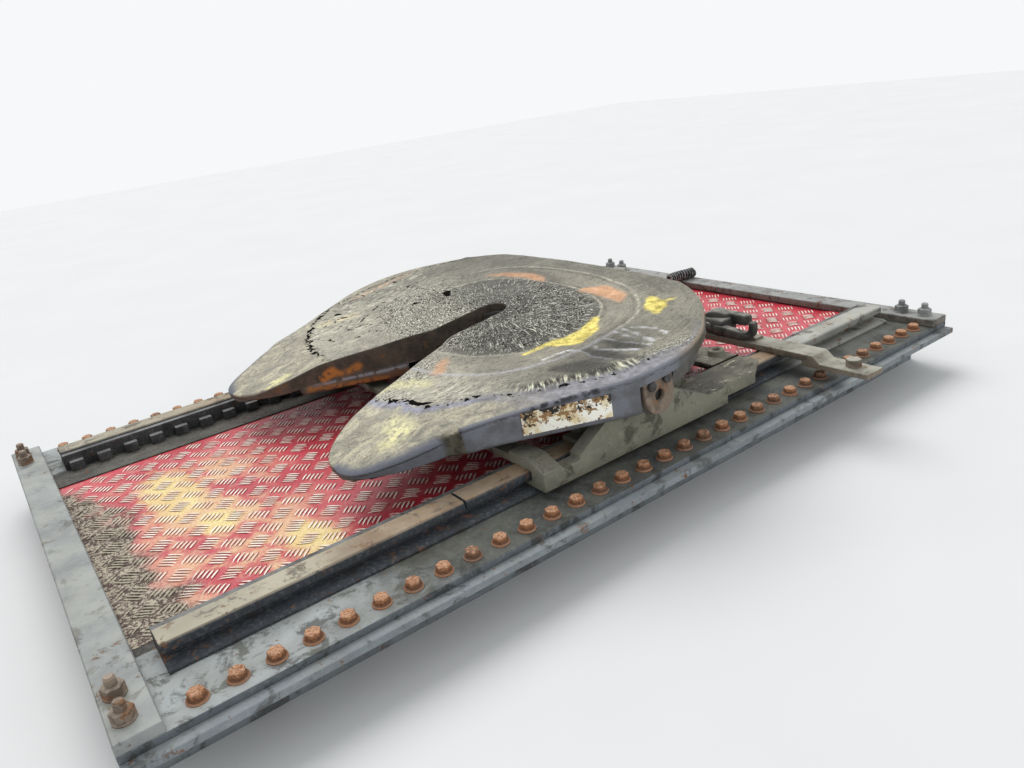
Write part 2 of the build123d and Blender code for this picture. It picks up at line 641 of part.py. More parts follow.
def turned(x, y):
    """Point of the closed jaw turned back about its pin to the open rest position."""
    a = -math.radians(JAW_OPEN)
    dx, dy = x - JAW_PIN[0], y - JAW_PIN[1]
    return (JAW_PIN[0] + dx * math.cos(a) - dy * math.sin(a),
            JAW_PIN[1] + dx * math.sin(a) + dy * math.cos(a))


def at_jaw(x, y, turn):
    """Place and direction of a feature of the jaw, with the jaw open."""
    return Location((*turned(x, y), 0), (0, 0, turn - JAW_OPEN))


# lock jaw: hook with two fingers, open at rest
with BuildPart() as jaw:
    with BuildSketch(TOP.offset(JAW_W[0])):
        with Locations(turned(0, 0)):
            Circle(50)
        with Locations(JAW_PIN):
            Circle(2 * JAW_PIN_R)
        with Locations(at_jaw(20, 38, JAW_LEAN)):
            Rectangle(60, 44)
        with Locations(at_jaw(0, -12, 0)):
            Rectangle(100, 24)
        with Locations(at_jaw(0, -20, 0)):
            Rectangle(52, 40, mode=Mode.SUBTRACT)
        with Locations(turned(0, 0)):
            Circle(RING_R + 0.5, mode=Mode.SUBTRACT)
        with Locations(JAW_PIN):
            Circle(JAW_PIN_R + PIN_PLAY, mode=Mode.SUBTRACT)
    extrude(amount=JAW_W[1] - JAW_W[0])
save(jaw, "lock_jaw")

with BuildPart() as jaw_pin:
    with BuildSketch(TOP.offset(JAW_W[0] - 6)):
        with Locations(JAW_PIN):
            Circle(JAW_PIN_R)
    extrude(amount=LOCK_TOP - JAW_W[0] + 6)
save(jaw_pin, "jaw_pin")

# keeper plate under the jaw, on four posts
with BuildPart() as keeper:
    with BuildSketch(TOP.offset(JAW_W[0] - 12)):
        with BuildLine():
            Polyline((-115, -66), (78, -66), (78, 150), (20, 150), (-115, 128), close=True)
        make_face()
        with Locations((-70, 0)):
            Rectangle(140, 68, mode=Mode.SUBTRACT)
        Circle(34, mode=Mode.SUBTRACT)
    extrude(amount=6)
    with BuildSketch(TOP.offset(JAW_W[0] - 6)):
        with Locations((66, -54), (66, 138), (-103, -54), (-103, 116)):
            Circle(8)
    extrude(amount=LOCK_TOP - JAW_W[0] + 6)
save(keeper, "lock_keeper")

# lock bar and its release handle
with BuildPart() as bar:
    with BuildSketch(TOP.offset(BAR_LOW)):
        with Locations((-66, 192)):
            Rectangle(24, 136)
        with Locations((-110.5, 250)):
            Rectangle(113, 20)
    extrude(amount=LOCK_BAR_T)
save(bar, "lock_bar")

with BuildPart() as handle:
    with BuildSketch(TOP.offset(GRIP_LOW)):
        with Locations((GRIP_U, 349)):
            Rectangle(GRIP_W, 178)
        with Locations((GRIP_U, GRIP_END - 26)):
            RectangleRounded(50, 52, 12)
            RectangleRounded(26, 28, 6, mode=Mode.SUBTRACT)
    extrude(amount=GRIP_W)
save(handle, "release_handle")

# bearing covers, rounded below, with two bolts each
for side, s in SIDES.items():
    with BuildPart() as cover:
        with BuildSketch(cover_plane(s)):
            Circle(COVER_R)
            with Locations((0, (COVER_TOP - 1) / 2)):
                Rectangle(2 * COVER_R, COVER_TOP - 1)
            Circle(9, mode=Mode.SUBTRACT)
        extrude(amount=-s * COVER_T)
    save(cover, f"bearing_cover_{side}")
    with BuildPart() as cover_bolts:
        with BuildSketch(cover_plane(s).offset(-s * COVER_T)):
            with Locations((-15, COVER_TOP - 10), (15, COVER_TOP - 10)):
                RegularPolygon(6.5, 6, major_radius=False)
        extrude(amount=-s * 6)
    save(cover_bolts, f"cover_bolts_{side}")

# blank label plate on the right flank
fl = math.dist(*FLANK)
fx = (FLANK[0][0] - FLANK[1][0]) / fl
fy = (FLANK[0][1] - FLANK[1][1]) / fl
label_u = -161.0
label_v = FLANK[0][1] + (label_u - FLANK[0][0]) * fy / fx
LABEL = Plane(origin=on_top(label_u, -label_v - 0.05, -25), x_dir=(fx * ca, -fy, fx * sa),
              z_dir=(-fy * ca, -fx, -fy * sa))
with BuildPart() as label:
    with BuildSketch(LABEL):
        Rectangle(126, 34, rotation=-4)
    extrude(amount=2)
save(label, "label_plate")
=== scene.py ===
import bmesh
import bpy
import json
import math
import numpy as np
from mathutils import Matrix, Vector


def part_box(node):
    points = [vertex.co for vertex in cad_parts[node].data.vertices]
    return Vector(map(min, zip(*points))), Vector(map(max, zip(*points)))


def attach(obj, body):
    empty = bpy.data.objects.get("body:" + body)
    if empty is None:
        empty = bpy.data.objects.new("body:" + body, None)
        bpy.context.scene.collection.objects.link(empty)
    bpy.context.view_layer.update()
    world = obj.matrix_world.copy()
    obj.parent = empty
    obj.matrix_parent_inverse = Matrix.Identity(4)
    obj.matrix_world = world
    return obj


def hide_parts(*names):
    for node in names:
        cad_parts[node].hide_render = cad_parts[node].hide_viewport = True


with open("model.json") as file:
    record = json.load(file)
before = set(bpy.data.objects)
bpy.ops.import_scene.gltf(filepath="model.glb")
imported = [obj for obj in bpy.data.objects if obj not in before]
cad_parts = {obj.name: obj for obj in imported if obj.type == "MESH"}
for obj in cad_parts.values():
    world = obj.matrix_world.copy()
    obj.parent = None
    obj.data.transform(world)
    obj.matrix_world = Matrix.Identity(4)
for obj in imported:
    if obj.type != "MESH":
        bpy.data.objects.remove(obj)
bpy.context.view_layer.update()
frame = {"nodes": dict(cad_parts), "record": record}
nodes = frame["nodes"]
node_body = {n: b for b, ns in frame["record"]["behaviour"]["bodies"].items() for n in ns}

# The camera, fitted to the photograph: place, yaw, pitch, roll and focal length in pixels.
EYE = (-0.7287, -1.1767, 0.627)
PICTURE_WIDTH, SENSOR = 1024, 36
YAW, PITCH, ROLL = 0.98263, -0.367095, -0.137886
FOCAL_PX = 790.96

# The coupling plate's own coordinates: u forward, v left, w out of its greased face.
TILT = math.radians(7)
KING = (0.03, 0.0, 0.238)


def on_plate(u, v, w):
    """Row coordinates in metres of points given in millimetres on the tilted plate:
    u and w are turned about Y by the rest pitch and moved to the kingpin's centre."""
    c, s = math.cos(TILT), math.sin(TILT)
    u, v, w = np.broadcast_arrays(u, v, w)
    x = KING[0] + (u * c - w * s) / 1000
    z = KING[2] + (u * s + w * c) / 1000
    return np.stack([x, v / 1000, z], -1)


def camera():
    """The camera's axes: forward from yaw and pitch, the other two turned by the roll."""
    forward = Vector((math.cos(PITCH) * math.cos(YAW), math.cos(PITCH) * math.sin(YAW), math.sin(PITCH)))
    level = Vector((math.sin(YAW), -math.cos(YAW), 0))
    upright = level.cross(forward)
    right = level * math.cos(ROLL) + upright * math.sin(ROLL)
    up = upright * math.cos(ROLL) - level * math.sin(ROLL)
    cam = bpy.data.objects.new("camera", bpy.data.cameras.new("camera"))
    bpy.context.scene.collection.objects.link(cam)
    m = Matrix((right, up, -forward)).transposed().to_4x4()
    m.translation = EYE
    cam.matrix_world = m
    cam.data.sensor_width = SENSOR
    cam.data.lens = FOCAL_PX / PICTURE_WIDTH * SENSOR
    cam.data.clip_start = 0.01
    bpy.context.scene.camera = cam


camera()


# Noise and curves

LATTICE = 257


def lattice(x, y, cell, seed):
    """Smooth value noise in -1..1: random numbers on a square lattice of the given cell,
    blended with smoothstep weights."""
    n = LATTICE
    g = np.random.default_rng(seed).uniform(-1, 1, (n, n))
    x, y = np.asarray(x, float) / cell, np.asarray(y, float) / cell
    i, j = np.floor(x).astype(int), np.floor(y).astype(int)
    fx, fy = x - i, y - j
    fx, fy = fx * fx * (3 - 2 * fx), fy * fy * (3 - 2 * fy)
    i0, j0, i1, j1 = i % n, j % n, (i + 1) % n, (j + 1) % n
    a = g[i0, j0] * (1 - fx) + g[i1, j0] * fx
    b = g[i0, j1] * (1 - fx) + g[i1, j1] * fx
    return a * (1 - fy) + b * fy


def rough(x, y, cell, seed, octaves=3):
    """Sum of value noises, each with half the cell and half the height of the last."""
    total = sum(lattice(x, y, cell / 2 ** k, seed + k) / 2 ** k for k in range(octaves))
    return total / (2 - 2.0 ** (1 - octaves))


def arc(p, q, r, n):
    """n points of the circle through p, q and r, from p to r."""
    p, q, r = (np.array(t, float) for t in (p, q, r))
    a, b = q - p, r - p
    d = 2 * (a[0] * b[1] - a[1] * b[0])
    c = p + np.array([b[1] * (a @ a) - a[1] * (b @ b), a[0] * (b @ b) - b[0] * (a @ a)]) / d
    t0, t1, t2 = (math.atan2(*(t - c)[::-1]) for t in (p, q, r))
    t1 += 2 * math.pi * round((t0 - t1) / (2 * math.pi))
    t2 += 2 * math.pi * round((t1 - t2) / (2 * math.pi))
    t = np.linspace(t0, t2, n)
    return c + np.linalg.norm(p - c) * np.stack([np.cos(t), np.sin(t)], -1)


def flowing(points, step=1.5):
    """Curve through the points: a centripetal Catmull-Rom spline, sampled every step."""
    p = np.array(points, float)
    p = np.vstack([2 * p[0] - p[1], p, 2 * p[-1] - p[-2]])
    out = []
    for i in range(1, len(p) - 2):
        k = [0.0]
        for a, b in zip(p[i - 1:i + 2], p[i:i + 3]):
            k.append(k[-1] + max(np.linalg.norm(b - a), 1e-6) ** 0.5)
        n = max(2, int(np.linalg.norm(p[i + 1] - p[i]) / step))
        t = np.linspace(k[1], k[2], n, endpoint=i == len(p) - 3)[:, None]

        def mixed(a, b, first, last):
            return ((k[last] - t) * a + (t - k[first]) * b) / (k[last] - k[first])

        before, middle, after = (mixed(p[i + s - 1], p[i + s], s, s + 1) for s in range(3))
        out.append(mixed(mixed(before, middle, 0, 2), mixed(middle, after, 1, 3), 1, 2))
    return np.vstack(out)


def along(path, lengths):
    """Points at the given lengths along a path."""
    s = np.r_[0, np.cumsum(np.linalg.norm(np.diff(path, axis=0), axis=1))]
    return np.stack([np.interp(lengths, s, path[:, k]) for k in range(path.shape[1])], -1)


def path_length(path):
    return float(np.linalg.norm(np.diff(path, axis=0), axis=1).sum())


# Meshes

def new_piece(name, points, faces, smooth=True):
    mesh = bpy.data.meshes.new(name)
    mesh.from_pydata(np.asarray(points, float).reshape(-1, 3).tolist(), [], faces)
    if smooth:
        mesh.polygons.foreach_set("use_smooth", [True] * len(mesh.polygons))
    mesh.update()
    piece = bpy.data.objects.new(name, mesh)
    bpy.context.scene.collection.objects.link(piece)
    return piece


def loops(n_rows, n_cols, offset=0):
    """Quads between neighbouring rows of a grid of points. Each row is a closed ring."""
    a, b = np.meshgrid(np.arange(n_rows - 1), np.arange(n_cols), indexing="ij")
    here, beside = a * n_cols + b, a * n_cols + (b + 1) % n_cols
    quads = np.stack([here, here + n_cols, beside + n_cols, beside], -1)
    return (quads.reshape(-1, 4) + offset).tolist()


def capped(n_rows, n_cols, offset=0):
    """Quads between closed rows, and a face over the first and the last row."""
    rows = [list(range(start, start + n_cols)) for start in (offset, offset + (n_rows - 1) * n_cols)]
    return loops(n_rows, n_cols, offset) + [rows[0][::-1], rows[1]]


def weld(piece, distance=2e-5, outward=True):
    """Merges doubles and turns the faces outwards."""
    bm = bmesh.new()
    bm.from_mesh(piece.data)
    bmesh.ops.remove_doubles(bm, verts=bm.verts, dist=distance)
    bmesh.ops.dissolve_degenerate(bm, edges=bm.edges, dist=1e-7)
    if outward:
        bmesh.ops.recalc_face_normals(bm, faces=bm.faces)
    bm.to_mesh(piece.data)
    bm.free()


def attribute(piece, name, values):
    a = piece.data.attributes.new(name, "FLOAT", "POINT")
    a.data.foreach_set("value", np.asarray(values, np.float32).ravel())


def place(piece, body, slot, material, *replaced):
    if material is not None:
        piece.data.materials.clear()
        piece.data.materials.append(material)
    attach(piece, body)
    if replaced:
        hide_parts(*replaced)
    return piece


def softened(node, slot, material, width=0.0012, segments=2):
    """A copy of a CAD node with its doubles merged, flat faces joined and edges rounded."""
    mesh = nodes[node].data.copy()
    piece = bpy.data.objects.new(node + "_worn", mesh)
    bpy.context.scene.collection.objects.link(piece)
    bm = bmesh.new()
    bm.from_mesh(mesh)
    bmesh.ops.remove_doubles(bm, verts=bm.verts, dist=1e-5)
    bmesh.ops.dissolve_limit(bm, angle_limit=math.radians(0.5), verts=bm.verts, edges=bm.edges)
    bm.to_mesh(mesh)
    bm.free()
    mesh.polygons.foreach_set("use_smooth", [True] * len(mesh.polygons))
    bevel = piece.modifiers.new("rounding", "BEVEL")
    bevel.width = width
    bevel.segments = segments
    bevel.limit_method = "ANGLE"
    bevel.angle_limit = math.radians(30)
    bevel.use_clamp_overlap = False
    bevel.harden_normals = True
    return place(piece, node_body[node], slot, material, node)


def soften_all(parts, sides=("",)):
    """Softens rows of parts: node, slot, material, rounding and, where not 2, the segments."""
    for side in sides:
        for node, *rest in parts:
            softened(node + side, *rest)


# Materials

class Shade:
    """Adds the shader nodes of one material and joins them. A value is a socket, a number, a
    colour or the name of a mesh attribute."""

    def __init__(self, name, roughness=0.6, specular=0.4):
        self.m = bpy.data.materials.new(name)
        self.m.use_nodes = True
        self.t = self.m.node_tree
        self.out = self.t.nodes["Principled BSDF"]
        self.out.inputs["Roughness"].default_value = roughness
        self.out.inputs["Specular IOR Level"].default_value = specular
        self.where = self.t.nodes.new("ShaderNodeTexCoord").outputs["Object"]

    def put(self, socket, value):
        if isinstance(value, str):
            value = self.attr(value)
        if isinstance(value, bpy.types.NodeSocket):
            self.t.links.new(value, socket)
        elif isinstance(value, (tuple, list)) and len(value) == 3 and socket.type == "RGBA":
            socket.default_value = (*value, 1)
        else:
            socket.default_value = value

    def node(self, kind, **values):
        n = self.t.nodes.new(kind)
        for k, v in values.items():
            self.put(n.inputs[k], v)
        return n

    def attr(self, name):
        n = self.t.nodes.new("ShaderNodeAttribute")
        n.attribute_name = name
        return n.outputs["Fac"]

    def spot(self, axis):
        return self.node("ShaderNodeSeparateXYZ", Vector=self.where).outputs[axis]

    def upward(self):
        """How far the surface looks up: the height of its normal."""
        normal = self.t.nodes.new("ShaderNodeNewGeometry").outputs["Normal"]
        return self.node("ShaderNodeSeparateXYZ", Vector=normal).outputs["Z"]

    def mapped(self, scale=(1, 1, 1), turn=(0, 0, 0), move=(0, 0, 0)):
        n = self.node("ShaderNodeMapping", Vector=self.where)
        n.inputs["Scale"].default_value = scale
        n.inputs["Rotation"].default_value = turn
        n.inputs["Location"].default_value = move
        return n.outputs[0]

    def noise(self, size, detail=3, rough=0.55, where=None, distortion=0.0, **mapping):
        """Noise of a grain size in metres, at a place or through a mapping of its own."""
        where = self.mapped(**mapping) if mapping else where or self.where
        return self.node("ShaderNodeTexNoise", Scale=1 / size, Detail=detail, Roughness=rough,
                         Distortion=distortion, Vector=where).outputs["Fac"]

    def math(self, op, a, b=0.0):
        n = self.t.nodes.new("ShaderNodeMath")
        n.operation = op
        self.put(n.inputs[0], a)
        self.put(n.inputs[1], b)
        return n.outputs[0]

    def times(self, a, b):
        return self.math("MULTIPLY", a, b)

    def plus(self, a, b):
        return self.math("ADD", a, b)

    def strayed(self, value, noise, gain):
        """A value moved to and fro by a noise."""
        return self.plus(value, self.times(self.plus(noise, -0.5), gain))

    def step(self, value, low, high, to=(0, 1)):
        """Smooth step of a value between low and high."""
        n = self.t.nodes.new("ShaderNodeMapRange")
        n.interpolation_type = "SMOOTHSTEP"
        if low > high:
            low, high, to = high, low, to[::-1]
        for k, v in zip(("Value", "From Min", "From Max", "To Min", "To Max"), (value, low, high, *to)):
            self.put(n.inputs[k], v)
        return n.outputs[0]

    def band(self, value, middle, wide, narrow):
        """Mask of values near a middle: full within narrow, none beyond wide."""
        return self.step(self.math("ABSOLUTE", self.plus(value, -middle)), wide, narrow)

    def mix(self, fac, a, b, kind="MIX"):
        n = self.t.nodes.new("ShaderNodeMix")
        n.data_type = "RGBA"
        n.blend_type = kind
        for k, v in ((0, fac), (6, a), (7, b)):
            self.put(n.inputs[k], v)
        return n.outputs[2]

    def blend(self, value, low, high, a, b):
        """From colour a at low to colour b at high."""
        return self.mix(self.step(value, low, high), a, b)

    def layers(self, tone, *rows):
        """Colours laid over a tone in turn. A row holds masks, whose product is the cover, and
        ends with its colour."""
        for *masks, colour in rows:
            cover = masks.pop()
            while masks:
                cover = self.times(masks.pop(), cover)
            tone = self.mix(cover, tone, colour)
        return tone

    def finish(self, colour, roughness=None, heights=()):
        """Joins the colour, the roughness and a chain of bumps (height, metres)."""
        self.put(self.out.inputs["Base Color"], colour)
        if roughness is not None:
            self.put(self.out.inputs["Roughness"], roughness)
        for height, distance in heights:
            n = self.node("ShaderNodeBump", Height=height, Strength=1.0, Distance=distance)
            if self.out.inputs["Normal"].is_linked:
                self.t.links.new(self.out.inputs["Normal"].links[0].from_socket, n.inputs["Normal"])
            self.t.links.new(n.outputs[0], self.out.inputs["Normal"])
        return self.m


def weathered(name, paint, stain, rust, rust_share=0.35, stain_share=0.5, dust=(0.42, 0.4, 0.34),
              dust_share=0.3, roughness=0.62, grain=0.00025, shine=0.18, upper=None, rear=None, front=None,
              greasy=None, upper_from=None, gutter=None):
    """Old paint or steel: cloudy tone, dark stains, rust spots and dust on what faces up. upper
    is the tone of faces that look up, above upper_from where that is given, rear and front the
    tones near those ends; at the front the other faces get a darker copy of the front tone, as
    painted shade. Ahead of greasy such faces carry black grease with pale streaks. Within
    gutter of the middle line they are painted nearly black, as painted shade."""
    s = Shade(name, specular=shine)
    cloud, fine = s.noise(0.09, 4, 0.6), s.noise(0.006, 4, 0.7)
    facing = s.step(s.upward(), 0.5, 0.95)
    if upper_from is not None:
        facing = s.times(facing, s.step(s.spot("Z"), upper_from - 0.004, upper_from))
    base = paint
    if upper is not None:
        base = s.mix(facing, paint, upper)
    if rear is not None:
        back = s.step(s.strayed(s.spot("X"), cloud, 0.5), -0.3, -0.62)
        base = s.layers(base, (back, facing, rear))
    # near the middle line, up-facing faces are painted nearly black: painted shade
    if gutter is not None:
        middle = s.step(s.math("ABSOLUTE", s.spot("Y")), gutter + 0.004, gutter)
        dirt = s.blend(fine, 0.4, 0.6, (0.03, 0.024, 0.02), (0.075, 0.055, 0.042))
        base = s.layers(base, (middle, 0.92, dirt))
    if front is not None:
        # at the front end, faces that don't look up get the front tone darkened to 0.6: painted shade
        front_side_shade = tuple(0.6 * c for c in front)
        base = s.blend(s.spot("X"), 0.36, 0.41, base, s.mix(facing, front_side_shade, front))
    blot = s.plus(s.times(s.noise(0.035, 5, 0.65, distortion=0.6), 0.8), s.times(fine, 0.2))
    spots = s.plus(s.times(s.noise(0.022, 5, 0.7, move=(3, 1, 2)), 0.75), s.times(fine, 0.25))
    rusty = s.step(spots, 0.66 - 0.3 * rust_share, 0.72 - 0.3 * rust_share)
    dark_rust = tuple(0.45 * c for c in rust)
    tone = s.layers(
        base,
        (s.step(cloud, 0.35, 0.65), 0.25, (0.03, 0.03, 0.03)),
        (s.step(fine, 0.45, 0.75), 0.12, (0.7, 0.7, 0.66)),
        (s.step(blot, 0.6 - 0.2 * stain_share, 0.66 - 0.12 * stain_share), 0.75, stain),
        (rusty, 0.85, s.blend(s.noise(0.004, 3, 0.7), 0.35, 0.65, rust, dark_rust)),
        (s.times(facing, s.step(s.noise(0.05, 4), 0.35, 0.65)), dust_share, dust))
    if greasy is not None:
        ahead = s.times(facing, s.step(s.strayed(s.spot("X"), cloud, 0.3), greasy, greasy + 0.05))
        streak = s.noise(0.01, 4, 0.75, distortion=0.9, scale=(0.45, 1, 1), turn=(0, 0, 0.25))
        patchy = s.step(s.noise(0.05, 3), 0.42, 0.58)
        old = s.layers(
            s.blend(s.noise(0.04, 4), 0.4, 0.6, (0.205, 0.19, 0.145), (0.125, 0.115, 0.09)),
            (s.step(streak, 0.52, 0.58), s.plus(0.3, s.times(patchy, 0.6)), (0.035, 0.032, 0.026)),
            (s.step(streak, 0.41, 0.36), patchy, 0.8, (0.74, 0.7, 0.5)))
        tone = s.layers(tone, (ahead, 0.9, old))
    roughened = s.plus(roughness - 0.1, s.plus(s.times(rusty, 0.3), s.times(fine, 0.2)))
    return s.finish(tone, roughened, ((s.plus(s.noise(0.0018, 3, 0.6), s.times(rusty, 0.6)), grain),
                                      (s.noise(0.02, 3), 0.0006)))


RAIL_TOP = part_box("slider_rail_right")[1].z
# linear colours of the finishes: paint, stain and rust, then what differs from weathered's own
FINISHES = {
    "frame_paint": ((0.145, 0.165, 0.18), (0.04, 0.041, 0.036), (0.26, 0.115, 0.05), dict(
        rust_share=0.22, stain_share=0.6, dust_share=0.25, dust=(0.25, 0.25, 0.19),
        # gutter: up-facing faces near the middle line painted nearly black as painted shade
        upper=(0.085, 0.09, 0.085), rear=(0.42, 0.445, 0.44), gutter=0.322)),
    "angle_paint": ((0.255, 0.282, 0.298), (0.075, 0.075, 0.068), (0.26, 0.115, 0.05), dict(
        rust_share=0.25, stain_share=0.45, dust=(0.36, 0.37, 0.33))),
    "rail_paint": ((0.05, 0.057, 0.066), (0.04, 0.037, 0.034), (0.25, 0.12, 0.06), dict(
        rust_share=0.32, stain_share=0.35, dust_share=0.35, dust=(0.42, 0.38, 0.3),
        upper=(0.34, 0.235, 0.145), upper_from=RAIL_TOP - 0.002,
        rear=(0.5, 0.455, 0.34), front=(0.46, 0.46, 0.41))),
    "rack_paint": ((0.055, 0.056, 0.058), (0.022, 0.022, 0.021), (0.13, 0.065, 0.035), dict(
        rust_share=0.3, dust_share=0.5, dust=(0.36, 0.36, 0.34), upper=(0.12, 0.12, 0.118))),
    "strap_paint": ((0.33, 0.345, 0.335), (0.13, 0.125, 0.11), (0.24, 0.13, 0.07), dict(
        rust_share=0.22, stain_share=0.35, dust_share=0.35, dust=(0.52, 0.52, 0.44))),
    "bar_paint": ((0.2, 0.18, 0.155), (0.055, 0.048, 0.04), (0.2, 0.1, 0.05), dict(
        rust_share=0.36, dust_share=0.5, dust=(0.46, 0.46, 0.43), upper=(0.32, 0.32, 0.3))),
    "carriage_paint": ((0.245, 0.24, 0.18), (0.06, 0.055, 0.04), (0.2, 0.1, 0.045), dict(
        rust_share=0.2, stain_share=0.36, dust_share=0.35, dust=(0.36, 0.34, 0.24),
        upper=(0.2, 0.19, 0.16), greasy=0.1)),
    "dark_steel": ((0.06, 0.058, 0.055), (0.018, 0.018, 0.017), (0.13, 0.06, 0.03), dict(
        dust_share=0.1, roughness=0.5, shine=0.3)),
    "cover_steel": ((0.27, 0.205, 0.15), (0.11, 0.088, 0.068), (0.36, 0.175, 0.085), dict(
        rust_share=0.42, dust_share=0.1, roughness=0.75, grain=0.0005)),
    "rusted": ((0.22, 0.1, 0.05), (0.07, 0.038, 0.024), (0.4, 0.19, 0.09), dict(
        rust_share=0.5, dust_share=0.5, dust=(0.46, 0.31, 0.22), roughness=0.8, grain=0.0005, shine=0.12)),
    "bolt_steel": ((0.28, 0.215, 0.16), (0.1, 0.075, 0.055), (0.28, 0.13, 0.06), dict(
        rust_share=0.5, dust_share=0.4, dust=(0.5, 0.42, 0.34), grain=0.0003)),
    "grey_steel": ((0.3, 0.31, 0.3), (0.12, 0.12, 0.11), (0.24, 0.14, 0.08), dict(
        rust_share=0.15, dust_share=0.4, dust=(0.5, 0.5, 0.46), grain=0.0003)),
    "cross_paint": ((0.22, 0.185, 0.14), (0.1, 0.085, 0.065), (0.26, 0.13, 0.06), dict(
        rust_share=0.36, stain_share=0.4, dust_share=0.6, dust=(0.52, 0.5, 0.42),
        upper=(0.33, 0.315, 0.25))),
    "fork_cast": ((0.105, 0.102, 0.09), (0.022, 0.021, 0.018), (0.16, 0.1, 0.06), dict(
        rust_share=0.2, stain_share=0.7, dust_share=0.45, dust=(0.42, 0.41, 0.36), grain=0.0006,
        upper=(0.26, 0.25, 0.215))),
    "cast_body": ((0.115, 0.108, 0.098), (0.036, 0.032, 0.028), (0.2, 0.1, 0.045), dict(
        stain_share=0.6, dust=(0.3, 0.28, 0.21), grain=0.0005))}
finish = {name: weathered(name, *tones, **rest) for name, (*tones, rest) in FINISHES.items()}


# Coupling plate: outline of the left half in plate millimetres

FRONT = (((243, 0), (240, 130), (229, 256)), ((229, 256), (191, 328), (122, 399)),
         ((122, 399), (36, 446), (-90, 434)))
HORN = ((-90, 434), (-170, 392), (-250, 350), (-300, 331), (-340, 318), (-380, 299), (-410, 281),
        (-428, 262), (-435, 240), (-435, 222))
THROAT = ((-435, 222), (-434, 205), (-425, 182), (-405, 158), (-360, 130), (-300, 112), (-260, 98),
          (-200, 72), (-140, 50), (-112, 34), (-100, 32))
RAMP_U, RAMP_SLOPE = -300, 0.15
outer_line = np.vstack([arc(*t, 60) for t in FRONT] + [flowing(HORN)])
inner_line = np.vstack([arc((32, 0), (22.6, 22.6), (0, 32), 30), [(-50, 32)], flowing(THROAT)[::-1]])
OUTER_LENGTH, INNER_LENGTH = path_length(outer_line), path_length(inner_line)
# lengths along the slot line and the outer line that a ruling joins
RULINGS = ((0, 0), (25, 235), (50, 560), (150, 677), (194, 722), (258, 801), (324, 867), (366, 911),
           (429, 970), (482, 1018), (513, 1050), (INNER_LENGTH, OUTER_LENGTH))


def ruled(n):
    """Ends of n rulings from the middle of the front to the left horn's nose."""
    keys = np.array(RULINGS, float)
    mean = keys[:, 0] / INNER_LENGTH + 1.3 * keys[:, 1] / OUTER_LENGTH
    s = np.linspace(0, mean[-1], n)
    return [along(line, np.interp(s, mean, k)) for line, k in zip((inner_line, outer_line), keys.T)]


def ring(u, v, front, rear, near, far):
    """Size of the squarish oval through a point: 1 on the oval with these half axes."""
    a = np.where(u > 0, front, rear)
    b = np.where(v > 0, far, near)
    power = 2.4
    return ((np.abs(u) / a) ** power + (np.abs(v) / b) ** power) ** (1 / power)


def ramp_drop(u):
    """Drop of the horn's ramp, with a soft start."""
    soft = 12
    d = np.clip(RAMP_U + soft - u, 0, None)
    return RAMP_SLOPE * np.where(d < 2 * soft, d * d / (4 * soft), d - soft)


def ease(x, low, high):
    t = np.clip((x - low) / (high - low), 0, 1)
    return t * t * (3 - 2 * t)


# Line where the thick grease ends, from the near horn's slot side round to the far one. It
# leaves the plate at the front.
GREASE_EDGE = (
    (-310, -90), (-309, -142), (-299, -170), (-287, -182), (-291, -205), (-287, -227), (-266, -247),
    (-246, -264), (-214, -289), (-186, -332), (-169, -348), (-137, -368), (-111, -388), (-71, -412),
    (-45, -419), (-19, -426), (11, -432), (42, -440), (75, -452), (150, -450), (260, -330), (300, -150),
    (300, 200), (230, 330), (165, 340), (141, 356), (109, 378), (59, 402), (10, 412), (-60, 407), (-113, 400),
    (-161, 380), (-204, 340), (-236, 296), (-261, 243), (-276, 191), (-281, 132), (-284, 60), (-290, -20))
# soft light and dark areas: place, half widths and gain
TONES = ((170, 190, 110, 190, -0.24), (120, 330, 120, 70, -0.1), (-380, 220, 90, 80, 0.2),
         (-120, 330, 130, 80, 0.24), (-200, 200, 90, 90, 0.1), (-350, -220, 100, 110, 0.3),
         (-220, -190, 70, 50, 0.22), (165, -150, 28, 90, 0.3), (-60, -262, 120, 22, 0.1),
         (-140, -170, 70, 70, -0.28), (-60, -320, 120, 40, -0.22), (170, 290, 80, 110, -0.22),
         (-330, -290, 70, 60, -0.16), (-390, -235, 60, 70, -0.14),
         (-75, -350, 70, 34, -0.34), (10, -350, 60, 48, -0.38), (110, -380, 60, 50, -0.05),
         (130, -330, 50, 50, 0.06), (200, -240, 50, 90, -0.22), (210, -60, 40, 120, -0.16),
         (-20, -130, 110, 90, -0.1), (60, -20, 70, 110, -0.08), (-384, -190, 34, 20, -0.2))


# pale swept strokes: points and half width
SWEEPS = (
    (((-97, -276), (-72, -279), (-54, -290), (-50, -314), (-53, -345), (-47, -372)), 2.6),
    (((38, -309), (33, -342), (24, -388)), 2.4),
    (((24, -306), (20, -345), (34, -392)), 1.6),
    (((-28, -319), (-36, -330), (-20, -361), (-6, -388)), 2.4),
    (((0, -308), (2, -345), (12, -392)), 2.0),
    (((48, -318), (60, -350), (56, -384)), 2.0))
# dark flakes: points and half widths, and the hollow in the first of them, where the black is painted shade
FLAKES_AND_HOLLOW_SHADE = (
    (((-283, -190), (-286, -203), (-284, -214), (-277, -222), (-268, -232)), (3, 5, 6, 5, 1)),
    (((-300, -150), (-296, -168), (-288, -178)), (1, 2.5, 1)),
    (((-160, 330), (-156, 322)), (5, 4)),
    (((-162, 296), (-155, 290)), (4, 3)),
    (((-92, 272), (-131, 246), (-164, 219)), (1.5, 1.2, 0.6)),
    (((18, 176), (10, 160)), (8, 5)),
    (((-46, 196), (-40, 188)), (4, 3)))
HOLLOW = ((-283, -190), (-286, -203), (-284, -214), (-277, -222)), (2, 4, 4, 2)
